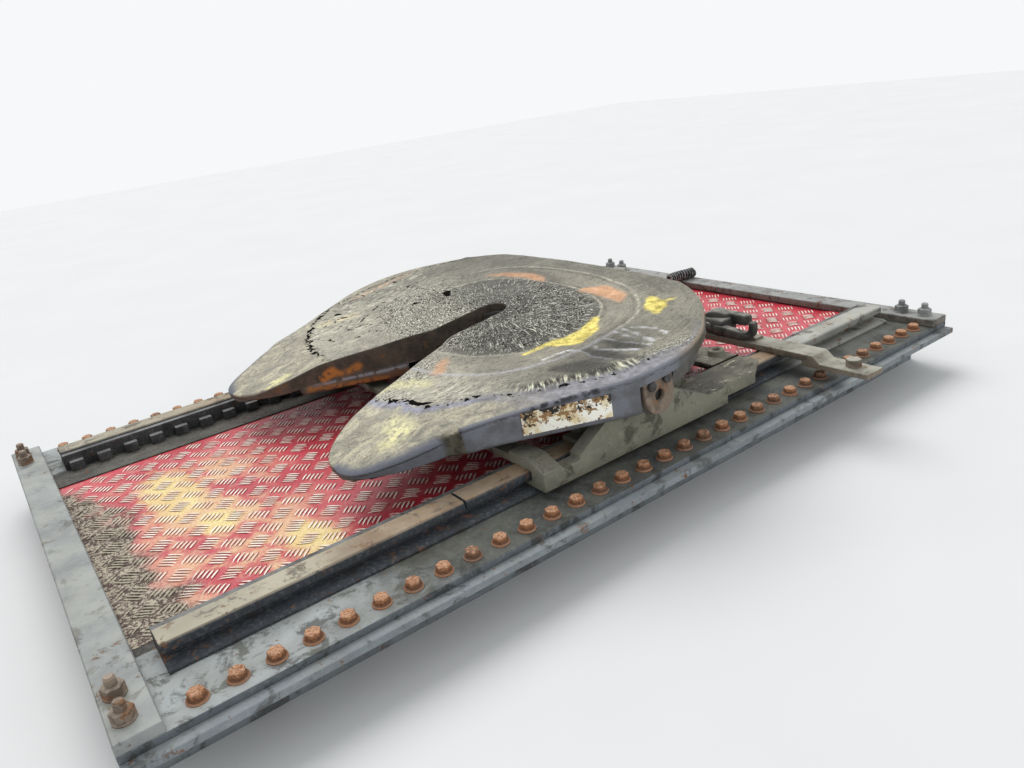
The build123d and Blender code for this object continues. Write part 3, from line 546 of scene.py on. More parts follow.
# dark smears: points, half widths and strength
DARK_SMEARS = ((((-108, -318), (-84, -352), (-66, -392)), (10, 22, 12), 0.6),
               (((-42, -316), (-44, -350), (-34, -388)), (8, 15, 8), 0.58),
               (((-6, -322), (-4, -352), (2, -384)), (7, 11, 7), 0.58),
               (((140, -40), (158, 20), (168, 90), (160, 150)), (6, 10, 8, 4), 0.3))
# coloured smears: strength, points, half widths and blur of each patch
SMEARS = {
    "orange": ((1, ((118, 170), (136, 130), (148, 70), (145, 25), (137, 8)), (3, 9, 13, 9, 3), 6),
               (1, ((135, -114), (145, -148), (134, -200), (118, -222)), (9, 19, 15, 4), 6),
               (0.9, ((-176, -116), (-205, -144)), (7, 10), 10)),
    "yellow": ((1, ((-97, -230), (-56, -237), (-24, -264), (8, -260), (34, -243), (52, -235)),
                (3, 7, 21, 17, 10, 4), 3),
               (1, ((150, -262), (128, -296), (108, -315)), (8, 19, 5), 3),
               (1, ((140, -292), (168, -304)), (6, 1), 3)),
    "straw": ((0.85, ((-330, -214), (-338, -250), (-362, -252)), (10, 20, 12), 14),
              (0.9, ((-406, 132), (-374, 152), (-346, 148)), (4, 13, 7), 7),
              (0.55, ((-300, -106), (-262, -120), (-240, -168)), (6, 14, 10), 14),
              (0.45, ((-200, 300), (-150, 290)), (14, 10), 16))}
BLUSH = ((1, ((-88, 386), (-20, 392), (60, 400)), (6, 12, 6), 10),
         (0.5, ((-190, 304), (-140, 280)), (10, 8), 12))
# on the walls, with the depth in place of the width
RUST_BLOTS = ((1, ((-300, 24), (-286, 20), (-272, 27)), (8, 11, 5), 4),
              (0.9, ((-258, 28), (-243, 24)), (5, 7), 5),
              (0.7, ((-330, 36), (-240, 56), (-200, 62)), (3, 6, 4), 5))


def nearest(u, v, a, d, square):
    """Share of the way from a by d to the nearest point, and the distance to it."""
    t = np.clip(((u - a[0]) * d[0] + (v - a[1]) * d[1]) / square, 0, 1)
    return t, np.hypot(u - a[0] - t * d[0], v - a[1] - t * d[1])


def path_distance(u, v, path):
    """Distance to a broken line, and the length along it of the nearest point."""
    best, place_on = np.full(np.shape(u), 1e9), np.zeros(np.shape(u))
    run = 0.0
    for a, d in zip(path, np.diff(path, axis=0)):
        size = math.hypot(*d)
        t, r = nearest(u, v, a, d, size ** 2)
        place_on = np.where(r < best, run + t * size, place_on)
        best = np.minimum(r, best)
        run += size
    return best, place_on


def within(u, v, path):
    """True inside a closed broken line: an odd number of edges is crossed on the way out."""
    odd = np.zeros(np.shape(u), bool)
    for a, b in zip(path, np.roll(path, -1, axis=0)):
        if a[1] != b[1]:
            cut = (a[1] > v) != (b[1] > v)
            odd ^= cut & (u < a[0] + (v - a[1]) * (b[0] - a[0]) / (b[1] - a[1]))
    return odd


def bell(x):
    return np.exp(-x ** 2)


def grease(u, v, rim):
    """Height of the grease in millimetres and its masks on the top face. rim is the distance to
    the plate's outline. Rings, a ragged edge, speckle round the slot that the material paints
    with painted glints and painted pit shade, tufts and a worn band that it paints with a
    painted sky sheen."""
    wob = 6 * rough(u, v, 60, 11) + 3 * rough(u, v, 14, 17)
    edge = flowing(GREASE_EDGE, 8.0)
    gap, run = path_distance(u, v, edge)
    gap = np.where(within(u, v, edge), gap, -gap)
    ragged = gap + 2.2 * rough(u, v, 16, 61) + 1.6 * lattice(u, v, 5, 63)
    inner = ring(u, v + 10, 137, 165, 238, 200)
    outer = ring(u, v + 10, 198, 225, 296, 262)
    d_in = (inner - 1) * 190 + wob * 0.4
    d_out = (outer - 1) * 240 + wob * 0.4
    thick = ease(ragged, -2, 2.5)
    near = ease(-v, -40, 60)
    # the worn band by the grease's edge and the rim, which the material paints lilac as painted sky sheen
    lilac_sheen = (1 - ease(gap + 0.4 * wob, 0, 14)) * ease(u, -235, -150) * near
    lilac_sheen = np.maximum(lilac_sheen, 0.9 * (1 - ease(rim + 0.4 * wob, 8, 18)) * near * ease(u, -235, -150))
    lilac_sheen = lilac_sheen * (1 - ease(u, 70, 135)) * (1 - 0.5 * ease(u, -40, 70))
    # a ridge at the grease's edge; its blue-lilac in the material is a painted sky highlight
    sheen_crest = bell((ragged + 7) / 8) * near * ease(-u, 190, 225)
    # speckle: bumps, whose white and black the material paints as painted glints and painted pit shade
    around_slot = ring(u, v, 150, 185, 250, 305) - 1
    far_glint_speckle = ease(-around_slot * 200 + 8 * rough(u, v, 30, 5), -10, 50) * ease(90 - u, -20, 90)
    glint_speckle = np.where(v > 0, far_glint_speckle, ease(-d_in - 6 * rough(u, v, 40, 5), -6, 30))
    glint_speckle = np.maximum(glint_speckle, 0.8 * ease(-v, -5, 5) * ease(-u, 150, 200) * ease(190 + v, 0, 90)) * thick
    fringe = thick * (1 - ease(gap, 12, 34)) * ease(u, -80, 10) * near
    glint_speckle = np.maximum(glint_speckle, 0.85 * fringe)
    # rings
    disc = ease(-d_in, -3, 8) * np.where(v > 0, ease(u, -60, 40), 1)
    between = ease(d_in, -3, 6) * ease(-d_out, -3, 6)
    dashes = disc * ease(np.hypot(u, v), 60, 100) * ease(-v, -190, -60)
    line_in = bell(d_in / 1.7) * np.clip(ease(u, -20, 60) + 0.7 * near, 0, 1)
    line_out = bell(d_out / 1.7) * np.clip(ease(u, -20, 60), 0, 1)
    mauve = bell(d_out / 3.6) * near * ease(60 - u, 0, 60)
    sweep = np.maximum.reduce([patch(u, v, line, [width] * len(line), 2.0, 7) for line, width in SWEEPS])
    # flakes of dark dirt; along the grease's edge step their black also stands as painted shadow under the
    # step
    crumbs = lattice(0.8 * u + 0.6 * v, 0.8 * v - 0.6 * u, 5.5, 41) + 0.6 * lattice(u, v, 2.8, 42)
    crumbs = ease(crumbs, 0.1, 0.38)
    edge_band = bell((gap + 1) / np.where((v > 150) & (u < -150), 10, 6.5))
    flake_and_shadow = crumbs * edge_band * np.where(v > 0, 1.0, np.where(u < -225, 0.85, 0.6 * ease(60 - u, 0, 100)))
    far_rim = ease(lattice(u, v, 4, 48) + 0.5 * lattice(u, v, 2.5, 49), 0.35, 0.6) * ease(v, 200, 260)
    flake_and_shadow = np.maximum(flake_and_shadow, far_rim * (1 - ease(rim, 2, 9)) * ease(-u, -40, 60) * ease(u, -330, -280))
    far_spots = ease(lattice(u, v, 9, 45) + 0.4 * lattice(u, v, 3.5, 46), 0.75, 0.95) * 0.9
    flake_and_shadow = np.maximum(flake_and_shadow, far_spots * thick * ease(v, 100, 160) * ease(-u, -90, 0))
    flake_and_shadow = np.maximum.reduce([flake_and_shadow] + [patch(u, v, points, width, 1.6, 9) for points, width in FLAKES_AND_HOLLOW_SHADE])
    tuft = bell((gap - 17) / 12.0) * ease(u, -190, -165) * ease(-10 - u, 0, 40) * near
    # height
    fine = rough(u, v, 6.5, 31, 2)
    swirl = np.sin((np.hypot(u, v) + 14 * rough(u, v, 45, 37)) * 0.42)
    lump = rough(u, v, 26, 23, 3)
    height = thick * (2.0 + 0.8 * lump) + 0.5 * lump + 0.2 * fine
    height += glint_speckle * (0.7 * fine + 0.8 * rough(u, v, 4.2, 33, 2))
    height += 0.3 * swirl * ease(u, -40, 60) * thick
    height += 0.8 * line_in + 0.8 * line_out - 0.5 * bell((d_out + 6) / 3) + 0.6 * mauve + 1.0 * sweep
    height += 0.8 * tuft * lattice(run, gap / 8, 4, 47)
    height += sheen_crest * 1.6 + crumbs * edge_band * 1.8 * np.where(v > 0, 1, 0.6)
    height -= 3.2 * patch(u, v, *HOLLOW, 2.0, 9)
    tone = np.ones(np.shape(u))
    for cu, cv, ru, rv, gain in TONES:
        tone += gain * np.exp(-((u - cu) / ru) ** 2 - ((v - cv) / rv) ** 2)
    for points, width, gain in DARK_SMEARS:
        tone *= 1 - gain * patch(u, v, points, width, 7, 19)
    tone *= 1 + 0.15 * rough(u, v, 45, 71) + 0.14 * rough(u, v, 9, 73)
    rilled = np.maximum(ease(v, 90, 200) * ease(-u, -160, -40), 0.8 * ease(-v, 40, 90) * ease(-u, 170, 230))
    # dark bands beside the ring lines: painted shadow
    groove_shadow = np.clip(bell((d_out + 7) / 3) + bell((d_in - 6) / 3), 0, 1)
    masks = {"thick": thick, "lilac_sheen": np.maximum(lilac_sheen, 0), "sheen_crest": sheen_crest, "glint_speckle": glint_speckle, "disc": disc,
             "between": between, "line": np.clip(line_in + line_out, 0, 1), "mauve": mauve, "flake_and_shadow": flake_and_shadow,
             "sweep": sweep, "rilled": thick * rilled, "groove_shadow": groove_shadow * thick * ease(u, -60, 20),
             "tuft": tuft, "dashes": dashes, "tone": tone, "edge_gap": gap / 1000, "edge_run": run / 1000,
             "outward": ring(u, v + 10, 165, 200, 260, 240) * 0.2, "turned": np.arctan2(v + 10, u) * 0.2}
    return height, masks


def patch(u, v, points, width, blur=3.0, seed=3):
    """Mask of a smear: distance to a broken line of points, less a width at each point."""
    p, w = np.array(points, float), np.array(width, float)
    best = np.full(np.shape(u), 1e9)
    for i, d in enumerate(np.diff(p, axis=0)):
        t, r = nearest(u, v, p[i], d, d @ d)
        best = np.minimum(best, r - (w[i] + t * (w[i + 1] - w[i])))
    best += 3.5 * rough(u, v, 12, seed)
    return 1 - ease(best, -blur, blur)


def smears(u, v, rows):
    """Highest of several patches, each times its strength."""
    return np.maximum.reduce([gain * patch(u, v, *shape) for gain, *shape in rows])


def wall_depths(u, v):
    """How far the outer wall of the skin goes down below its upper edge, in millimetres."""
    skirt = np.interp(u, (-450, -400, -376, -315, -290, -66), (26, 29, 31, 31, 38, 57)) + 0.3
    skirt = np.where(u > -66, 17.3, skirt)
    skirt = np.where((v > 0) & (u > -196) & (u < -124), np.minimum(skirt, 44), skirt)
    return skirt - ramp_drop(u)


def throat_depths(u):
    """The same for the walls of the throat and the slot."""
    low = np.interp(u, (-450, -400, -376, -341, -339, -164, -162, -111, -109),
                    (26, 29, 31, 31, 44, 69, 48, 52.4, 33.6))
    return low - ramp_drop(u)


def plate_skin():
    """Skin over the plate's top, rim and throat walls. Each cross-section lies on a ruling from
    the slot line to the outer line: up the throat wall, a quarter round, the greased top, a
    quarter round, down the outer wall, and back 4 mm inside. Sections run nose to nose. Towards
    the outline the top falls by a rounding, widest at the horns' noses."""
    half_in, half_out = ruled(300)
    q_in = np.vstack([half_in[::-1] * (1, -1), half_in[1:]])
    q_out = np.vstack([half_out[::-1] * (1, -1), half_out[1:]])
    span = q_out - q_in
    length = np.linalg.norm(span, axis=1)
    e = span / np.maximum(length, 1e-6)[:, None]
    good = np.flatnonzero(length > 25)
    first, last = good[0], good[-1]
    e[:first] = e[first]
    e[last + 1:] = e[last]
    r = np.minimum(1.2, 0.2 * length)[:, None]
    round_up = np.linspace(0, math.pi / 2, 4)[1:-1]
    round_down = round_up[::-1]
    t = np.r_[np.linspace(0, 0.965, 118), np.linspace(0.965, 1, 14)[1:]]
    top = r + (length[:, None] - 2 * r) * t
    fall_at = (-440, -322, -300, -60, 100, 240)
    d_out = wall_depths(q_out[:, 0], q_out[:, 1])[:, None]
    d_in = throat_depths(q_in[:, 0])[:, None]
    round_out = np.interp(q_out[:, 0], fall_at, (7, 9, 4.5, 3.6, 3.0, 2.6))[:, None]
    round_out = np.minimum(round_out, 0.35 * d_out + 1)
    wide_out = np.interp(q_out[:, 0], fall_at, (15, 17, 6, 5, 4, 3.5))[:, None]
    low_in = np.interp(q_in[:, 0], (-435, -400, -360), (6, 3, 0))[:, None]
    low_in = np.minimum(low_in, 0.35 * d_in)
    proud, proud_in = 0.6, 1.6
    along_e, depth, is_top = [], [], []

    def row(place_e, w, flat=False):
        shape = len(length), np.shape(place_e)[-1]
        along_e.append(np.broadcast_to(place_e, shape))
        depth.append(np.broadcast_to(w, shape))
        is_top.extend([flat] * shape[1])

    down_in = np.linspace(1, 0.001, 16)
    down_out = np.linspace(0.001, 1, 8)
    inside = np.minimum(4.0, 0.3 * length)[:, None]
    far_end = length[:, None]
    up_in, up_out = r + low_in, r + round_out
    row(-proud_in + 0 * down_in, -(up_in + (d_in - up_in) * down_in))
    row(-proud_in + (r + proud_in) * (1 - np.cos(round_up)), -low_in - r * (1 - np.sin(round_up)))
    row(top, 0 * top, True)
    row(far_end + proud - (r + proud) * (1 - np.sin(round_down)), -round_out - r * (1 - np.cos(round_down)))
    row(far_end + proud + 0 * down_out, -(up_out + (d_out - up_out) * down_out))
    row(far_end - inside, -d_out)
    row(far_end - inside, -np.minimum(d_out - 0.5, 14.0))
    row(0 * far_end + inside, -np.minimum(d_in - 0.5, 14.0))
    row(0 * far_end + inside, -d_in)
    along_e, depth, is_top = np.hstack(along_e), np.hstack(depth), np.array(is_top)
    u = q_in[:, :1] + e[:, :1] * along_e
    v = q_in[:, 1:] + e[:, 1:] * along_e
    rim = path_distance(u, np.abs(v), outer_line[::4])[0]
    slot = path_distance(u, np.abs(v), np.vstack([inner_line[::4], inner_line[-1:]]))[0]
    height, masks = grease(u, v, rim)
    fade = ease(np.minimum(rim, slot), 0, 7)
    w = depth + 0.5 - ramp_drop(u)
    w[:, is_top] += (height * fade)[:, is_top] + 0.15
    t_out = np.clip(rim / wide_out, 0, 1)
    t_in = np.clip(slot / np.maximum(low_in, 0.01), 0, 1)
    fall = round_out * (1 - np.sqrt(np.clip(t_out * (2 - t_out), 0, 1)))
    fall = np.maximum(fall, low_in * (1 - np.sqrt(np.clip(t_in * (2 - t_in), 0, 1))))
    w[:, is_top] -= fall[:, is_top]
    bite = ease(u, -322, -309) * (1 - ease(u, -293, -290)) * (v < 0)
    w[:, is_top] -= (7 * bite * bell(rim / 9))[:, is_top]
    # small dents of the cast walls
    edge = far_end - along_e
    out_wall = (depth < -0.01) & (edge < 1)
    in_wall = (depth < -0.01) & (along_e < 1)
    dent = 0.5 * rough(u * 1.3 + v, w * 2.2, 22, 51) + 0.25 * rough(u + v, w * 2, 6, 53)
    dent = np.maximum(dent, -0.3)
    ledge_at = np.interp(u, (-341, -306, -241, -173, -120), (31, 36, 43.5, 50.5, 52))
    shelf = ease(-w - ledge_at, -1.0, 1.0) * (u < -120) * (u > -345)
    shift = np.where(out_wall, dent, 0) - np.where(in_wall, 2.6 * shelf + dent, 0)
    shift = np.where((along_e > 3) & (edge > 3), 0, shift)
    u = u + e[:, :1] * shift
    v = v + e[:, 1:] * shift
    points = on_plate(u, v, w)
    # the quads' corners in reverse, so that they look outwards as the two ends do
    *quads, first_end, last_end = capped(*points.shape[:2])
    faces = [quad[:1] + quad[:0:-1] for quad in quads] + [first_end, last_end]
    piece = new_piece("plate_skin", points, faces)
    blend = rim + 0.18 * wide_out * rough(u, v, 20, 81)
    throat = np.where(along_e < 1.0, 1.0, 0.0)
    outer = 1 - throat
    ledge = bell((-w - ledge_at + 1.5) / np.interp(u, (-330, -180), (1.4, 3.0)))
    notch = np.maximum(bite, ease(u, -330, -315) * bite ** 0.5)
    masks.update({
        "wall": np.where(is_top[None, :], 1 - ease(blend, 0.2 * wide_out, 1.2 * wide_out), 1.0),
        "throat": throat,
        "low": np.where(depth < -0.01, -w - ramp_drop(u), 0) / 100,
        "ledge": throat * ledge * (ease(u, -335, -300) * (1 - ease(u, -150, -135))),
        "rust_blot": throat * smears(u, -w, RUST_BLOTS),
        "notch": outer * notch * (1 - ease(rim, 10, 16)),
        "soot": outer * (v < 0) * patch(u, -w, ((-198, 3), (-160, 1), (-120, 2)), (2, 5, 2), 3),
        "blush": 0.7 * smears(u, v, BLUSH)})
    for name, rows in SMEARS.items():
        masks[name] = smears(u, v, rows)
    for name, values in masks.items():
        attribute(piece, name, values)
    return piece


def grease_material():
    """Old grease: olive base with soft light and dark areas, brushed streaks round the slot,
    speckle of painted white glints and painted black pit shade, ring lines with painted shadow
    beside them, black flakes that are also painted shadow under the grease's step and in the
    hollow, smears, a worn band of pale violet-grey painted sky sheen, a ridge with a painted sky
    highlight, and rusty cast walls with a painted sky highlight on their rounded upper edge."""
    s = Shade("old_grease", roughness=0.5, specular=0.15)
    turn = s.mapped(turn=(0, TILT, 0))
    grain = s.noise(0.0034, 2, 0.6, turn)
    speck = s.noise(0.0028, 1, 0.5, turn=(0, TILT, 0), move=(2, 3, 1))
    mid = s.noise(0.011, 4, 0.65, turn)
    wide = s.noise(0.075, 4, 0.6, turn)
    folds = s.noise(0.045, 5, 0.65, distortion=1.6, scale=(1, 1.7, 1), turn=(0, TILT, 0.5))
    thick, disc, glint_speckle, wall, low = (s.attr(n) for n in ("thick", "disc", "glint_speckle", "wall", "low"))

    def stretched(a, b, size, scale_a, scale_b, twist=0.0):
        """Noise in two attributes used as coordinates, each with its own scale."""
        n = s.node("ShaderNodeCombineXYZ", X=s.times(a, scale_a), Y=s.times(b, scale_b))
        return s.noise(size, 3, 0.65, n.outputs[0], twist)

    brushed = stretched("outward", "turned", 0.006, 1.0, 0.17, 1.2)
    dashes = stretched("outward", "turned", 0.0046, 0.22, 1.0, 0.8)
    ticks = stretched("edge_gap", "edge_run", 0.0046, 0.13, 1.0, 0.3)
    pits = s.noise(0.0075, 4, 0.75, distortion=0.8, scale=(0.6, 1, 1), turn=(0, TILT, 0.3), move=(4, 0, 1))
    rills = s.noise(0.011, 4, 0.7, distortion=1.4, scale=(0.45, 1.3, 1), turn=(0, TILT, 0.9), move=(7, 2, 1))
    bare = s.layers(
        s.blend(folds, 0.36, 0.56, (0.5, 0.455, 0.325), (0.32, 0.295, 0.23)),
        (s.step(folds, 0.56, 0.66), 0.7, (0.19, 0.182, 0.15)))
    coat = s.layers(
        s.blend(wide, 0.35, 0.65, (0.345, 0.325, 0.25), (0.235, 0.222, 0.172)),
        ("between", 0.5, (0.3, 0.27, 0.21)),
        (disc, 0.9, s.blend(mid, 0.4, 0.6, (0.115, 0.112, 0.088), (0.06, 0.058, 0.046))))
    rear = s.times(s.step(s.spot("X"), -0.05, -0.2), thick)
    smooth = s.times(s.times(thick, s.math("SUBTRACT", 1.0, glint_speckle)), s.step(wide, 0.3, 0.62))
    rough_zone = s.times("rilled", s.step(s.noise(0.05, 3, 0.6, move=(3, 3, 3)), 0.4, 0.52))
    pit_shade = s.times(glint_speckle, s.step(grain, 0.51, 0.57))
    calm = s.step(s.noise(0.05, 3, 0.6, move=(6, 1, 2)), 0.42, 0.6)
    sparse = s.plus(speck, s.times(s.times(disc, s.plus(s.step(mid, 0.35, 0.65), calm)), -0.05))
    keep = s.step(s.plus(grain, s.times(mid, 0.5)), 1.02, 0.86)
    tone = s.layers(
        s.mix(thick, bare, coat),
        (rear, 0.8, s.blend(folds, 0.4, 0.6, (0.5, 0.465, 0.36), (0.34, 0.32, 0.26))),
        # brushed streaks, pits and rills, dark and light
        (smooth, s.step(brushed, 0.54, 0.66), 0.45, (0.05, 0.047, 0.038)),
        (smooth, s.step(brushed, 0.42, 0.32), 0.22, (0.6, 0.58, 0.49)),
        (s.step(grain, 0.52, 0.66), 0.45, (0.05, 0.047, 0.04)),
        (s.step(pits, 0.56, 0.63), 0.45, (0.055, 0.052, 0.042)),
        (s.step(pits, 0.43, 0.37), 0.2, (0.66, 0.62, 0.47)),
        (rough_zone, s.step(rills, 0.57, 0.6), 0.85, (0.035, 0.033, 0.028)),
        (rough_zone, s.step(rills, 0.44, 0.41), 0.7, (0.74, 0.7, 0.56)),
        # dark bands beside the ring lines: painted shadow
        ("groove_shadow", s.step(mid, 0.4, 0.6, (0.1, 0.6)), (0.07, 0.066, 0.052)),
        # speckle: black painted pit shade and white painted glints
        (pit_shade, (0.022, 0.021, 0.018)),
        (glint_speckle, s.step(sparse, 0.56, 0.62), 0.95, (0.8, 0.78, 0.66)),
        ("dashes", s.step(dashes, 0.57, 0.63), 0.9, (0.78, 0.76, 0.64)),
        # lines, the worn band painted with a lilac sky sheen, and the ridge at the grease's edge painted with
        # a blue-lilac sky highlight
        ("line", s.step(mid, 0.44, 0.56, (0.2, 1.0)), (0.7, 0.66, 0.52)),
        ("sweep", s.step(grain, 0.34, 0.48), (0.88, 0.88, 0.88)),
        ("mauve", s.step(grain, 0.36, 0.56), (0.5, 0.49, 0.51)),
        ("lilac_sheen", 0.85, s.blend(mid, 0.35, 0.65, (0.36, 0.355, 0.4), (0.2, 0.197, 0.22))),
        ("sheen_crest", 0.85, s.blend(mid, 0.4, 0.6, (0.3, 0.3, 0.4), (0.15, 0.15, 0.19))),
        ("tuft", s.step(ticks, 0.5, 0.44), (0.03, 0.03, 0.02)),
        ("tuft", s.step(ticks, 0.53, 0.57), (0.92, 0.9, 0.66)),
        # smears
        ("straw", s.step(mid, 0.34, 0.6), (0.84, 0.78, 0.4)),
        ("blush", s.step(mid, 0.35, 0.6), (0.66, 0.44, 0.29)),
        ("orange", keep, s.blend(mid, 0.3, 0.7, (0.72, 0.43, 0.25), (0.52, 0.27, 0.14))),
        ("yellow", keep, s.blend(mid, 0.35, 0.65, (1.0, 0.84, 0.24), (0.52, 0.42, 0.08))))
    gain = s.node("ShaderNodeCombineXYZ", X="tone", Y="tone", Z="tone").outputs[0]
    tone = s.mix(1.0, tone, gain, "MULTIPLY")
    # black flakes of dirt, also painted shadow under the grease's edge step and in the hollow
    flake_and_shadow = s.step(s.plus("flake_and_shadow", s.times(s.plus(grain, -0.5), 0.8)), 0.38, 0.5)
    tone = s.mix(flake_and_shadow, tone, (0.012, 0.011, 0.01))
    black = s.math("MAXIMUM", flake_and_shadow, pit_shade)
    s.put(s.out.inputs["Specular IOR Level"], s.times(0.16, s.math("SUBTRACT", 1.0, black)))
    # cast walls: lilac-grey outside with a painted sky highlight along the rounded upper edge, brown and
    # rusty in the throat
    nose_side = s.step(s.spot("X"), -0.235, -0.265)
    front_rim = s.times(s.step(s.spot("X"), 0.02, 0.085), s.step(s.noise(0.03, 4), 0.22, 0.42))
    side = s.layers(
        s.blend(s.noise(0.03, 4), 0.4, 0.62, (0.185, 0.192, 0.215), (0.125, 0.127, 0.13)),
        (nose_side, 0.6, (0.105, 0.112, 0.132)),
        # the wall's rounded upper edge and the top's rim, lighter lilac-grey: a painted sky highlight, dimmer
        # at the nose
        (s.step(s.strayed(low, mid, 0.05), 0.065, 0.01), 0.6,
         s.mix(nose_side, (0.27, 0.275, 0.315), (0.165, 0.173, 0.205))),
        (s.band(low, 0.056, 0.011, 0.002), s.step(mid, 0.4, 0.5, (0.15, 0.85)), (0.055, 0.054, 0.058)),
        (s.step(s.noise(0.02, 5, 0.7, move=(8, 8, 1)), 0.6, 0.8), 0.3, (0.08, 0.075, 0.07)),
        (s.step(s.noise(0.03, 5, 0.7, move=(1, 2, 3)), 0.66, 0.78), 0.3, (0.18, 0.11, 0.06)),
        ("notch", s.blend(mid, 0.4, 0.6, (0.045, 0.041, 0.029), (0.095, 0.087, 0.062))),
        ("soot", s.step(mid, 0.35, 0.55), (0.03, 0.03, 0.034)),
        (front_rim, 0.9, s.blend(low, 0.055, 0.02, (0.085, 0.075, 0.05), (0.36, 0.285, 0.2))))
    inner = s.layers(
        s.blend(s.noise(0.03, 5, 0.65), 0.4, 0.6, (0.062, 0.054, 0.042), (0.105, 0.082, 0.063)),
        (s.step(low, 0.44, 0.56), 0.7, (0.165, 0.07, 0.036)),
        (s.step(s.spot("X"), -0.3, -0.36), 0.45, (0.135, 0.1, 0.08)),
        (s.step(s.noise(0.025, 4, 0.7, move=(5, 1, 0)), 0.6, 0.68), 0.6, (0.24, 0.105, 0.035)),
        ("rust_blot", s.step(s.noise(0.012, 4, 0.7), 0.36, 0.5), (0.46, 0.185, 0.045)),
        ("ledge", s.step(mid, 0.35, 0.5), (0.3, 0.3, 0.33)))
    tone = s.mix(wall, tone, s.mix("throat", side, inner))
    glossy = s.plus(0.4, s.plus(s.times(grain, 0.25), s.times(wall, 0.14)))
    return s.finish(tone, glossy, ((s.times(grain, s.plus(0.35, glint_speckle)), 0.0016), (mid, 0.0016)))


def body_under_skin(node):
    """Copy of a cast node whose top face is lowered under the skin, with rounded edges."""
    piece = softened(node, "casting", finish["cast_body"], 0.0016)
    co = np.zeros(len(piece.data.vertices) * 3)
    piece.data.vertices.foreach_get("co", co)
    co = co.reshape(-1, 3)
    c, s = math.cos(TILT), math.sin(TILT)
    dx, dz = (co[:, 0] - KING[0]) * 1000, (co[:, 2] - KING[2]) * 1000
    u, w = dx * c + dz * s, -dx * s + dz * c
    top = w + np.clip(RAMP_U - u, 0, None) * RAMP_SLOPE > -0.4
    drop = np.where(top, np.interp(u, (-305, -275), (0.013, 0.004)), 0)
    co[:, 0] += drop * s - 0.0012 * np.clip((u - 150) / 50, 0, 1)
    co[:, 2] -= drop * c
    co[:, 1] -= 0.0014 * np.sign(co[:, 1]) * np.clip((np.abs(co[:, 1]) - 0.2) / 0.05, 0, 1)
    piece.data.vertices.foreach_set("co", co.ravel())
    piece.data.update()


place(plate_skin(), "coupling_plate", "casting", grease_material())
body_under_skin("top_plate")
body_under_skin("kingpin_block")


# Small parts of the plate and its lock

STEEL = "machined_steel"
soften_all((("bearing_cover_", "rusty_steel", finish["cover_steel"], 0.0012),
            ("cover_bolts_", STEEL, finish["dark_steel"], 0.0009),
            ("pivot_pin_", STEEL, finish["dark_steel"], 0.0012),
            ("lock_plunger_", STEEL, finish["dark_steel"], 0.001)), ("right", "left"))
soften_all([(node, STEEL, finish["dark_steel"], 0.0012)
            for node in ("wear_ring", "lock_jaw", "jaw_pin", "lock_keeper", "lock_bar")])
soften_all((("release_handle", "rusty_steel", finish["rusted"], 0.0025, 3),
            ("lock_cylinder", "carriage_paint", finish["dark_steel"], 0.0012)))


LABEL_SLOPE = 0.1228


def label_material():
    """Scuffed cream label: brown grime along the top edge, black scrapes and pale spots."""
    s = Shade("scuffed_label", roughness=0.5)
    grime = s.noise(0.008, 5, 0.7)
    high = s.step(s.math("SUBTRACT", s.spot("Z"), s.times(s.spot("X"), LABEL_SLOPE)), 0.196, 0.222)
    tone = s.layers(
        s.blend(s.noise(0.03, 4, 0.6, move=(1, 0, 0)), 0.45, 0.6, (1.0, 0.98, 0.86), (0.8, 0.66, 0.4)),
        (s.step(s.plus(grime, s.times(high, 0.12)), 0.575, 0.625), (0.3, 0.17, 0.065)),
        (s.step(s.plus(s.noise(0.012, 5, 0.75), s.times(high, 0.14)), 0.635, 0.665), (0.014, 0.012, 0.011)))
    return s.finish(tone, s.plus(0.35, s.times(grime, 0.4)), ((grime, 0.0004),))


softened("label_plate", "label_white", label_material(), 0.0006)


# Carriage, rails, frame

softened("carriage", "carriage_paint", finish["carriage_paint"], 0.0022, 3)
soften_all((("slider_rail_", "rail_steel", finish["rail_paint"], 0.0013),
            ("lock_rack_", "rail_steel", finish["rack_paint"], 0.0014),
            ("mounting_angle_", "frame_paint", finish["angle_paint"], 0.0016),
            ("mounting_plate_", "frame_paint", finish["frame_paint"], 0.0014),
            ("leg_bolts_", STEEL, finish["bolt_steel"], 0.0014)), ("right", "left"))
soften_all((("rear_strap", "strap_paint", finish["strap_paint"], 0.0016, 3),
            ("front_strap", "strap_paint", finish["bar_paint"], 0.0016, 3),
            ("cross_bar", "strap_paint", finish["cross_paint"], 0.0018, 3)))


def turned_profile(profile, centre, sides, flats=None, phase=0.0):
    """Surface of revolution about a vertical line. flats says which rows are hexagons: their
    radius is divided by the cosine of the angle from the nearest flat's middle."""
    a = np.arange(sides) * 2 * math.pi / sides + phase
    r, z = np.array(profile).T
    rr = np.repeat(r[:, None], sides, 1)
    if flats is not None:
        sixth = math.pi / 3
        off = (a - phase + sixth / 2) % sixth - sixth / 2
        hexed = rr / np.cos(off)[None, :]
        rr = np.where(np.array(flats)[:, None], hexed, rr)
    return np.stack([centre[0] + rr * np.cos(a), centre[1] + rr * np.sin(a),
                     centre[2] + np.repeat(z[:, None], sides, 1)], -1)


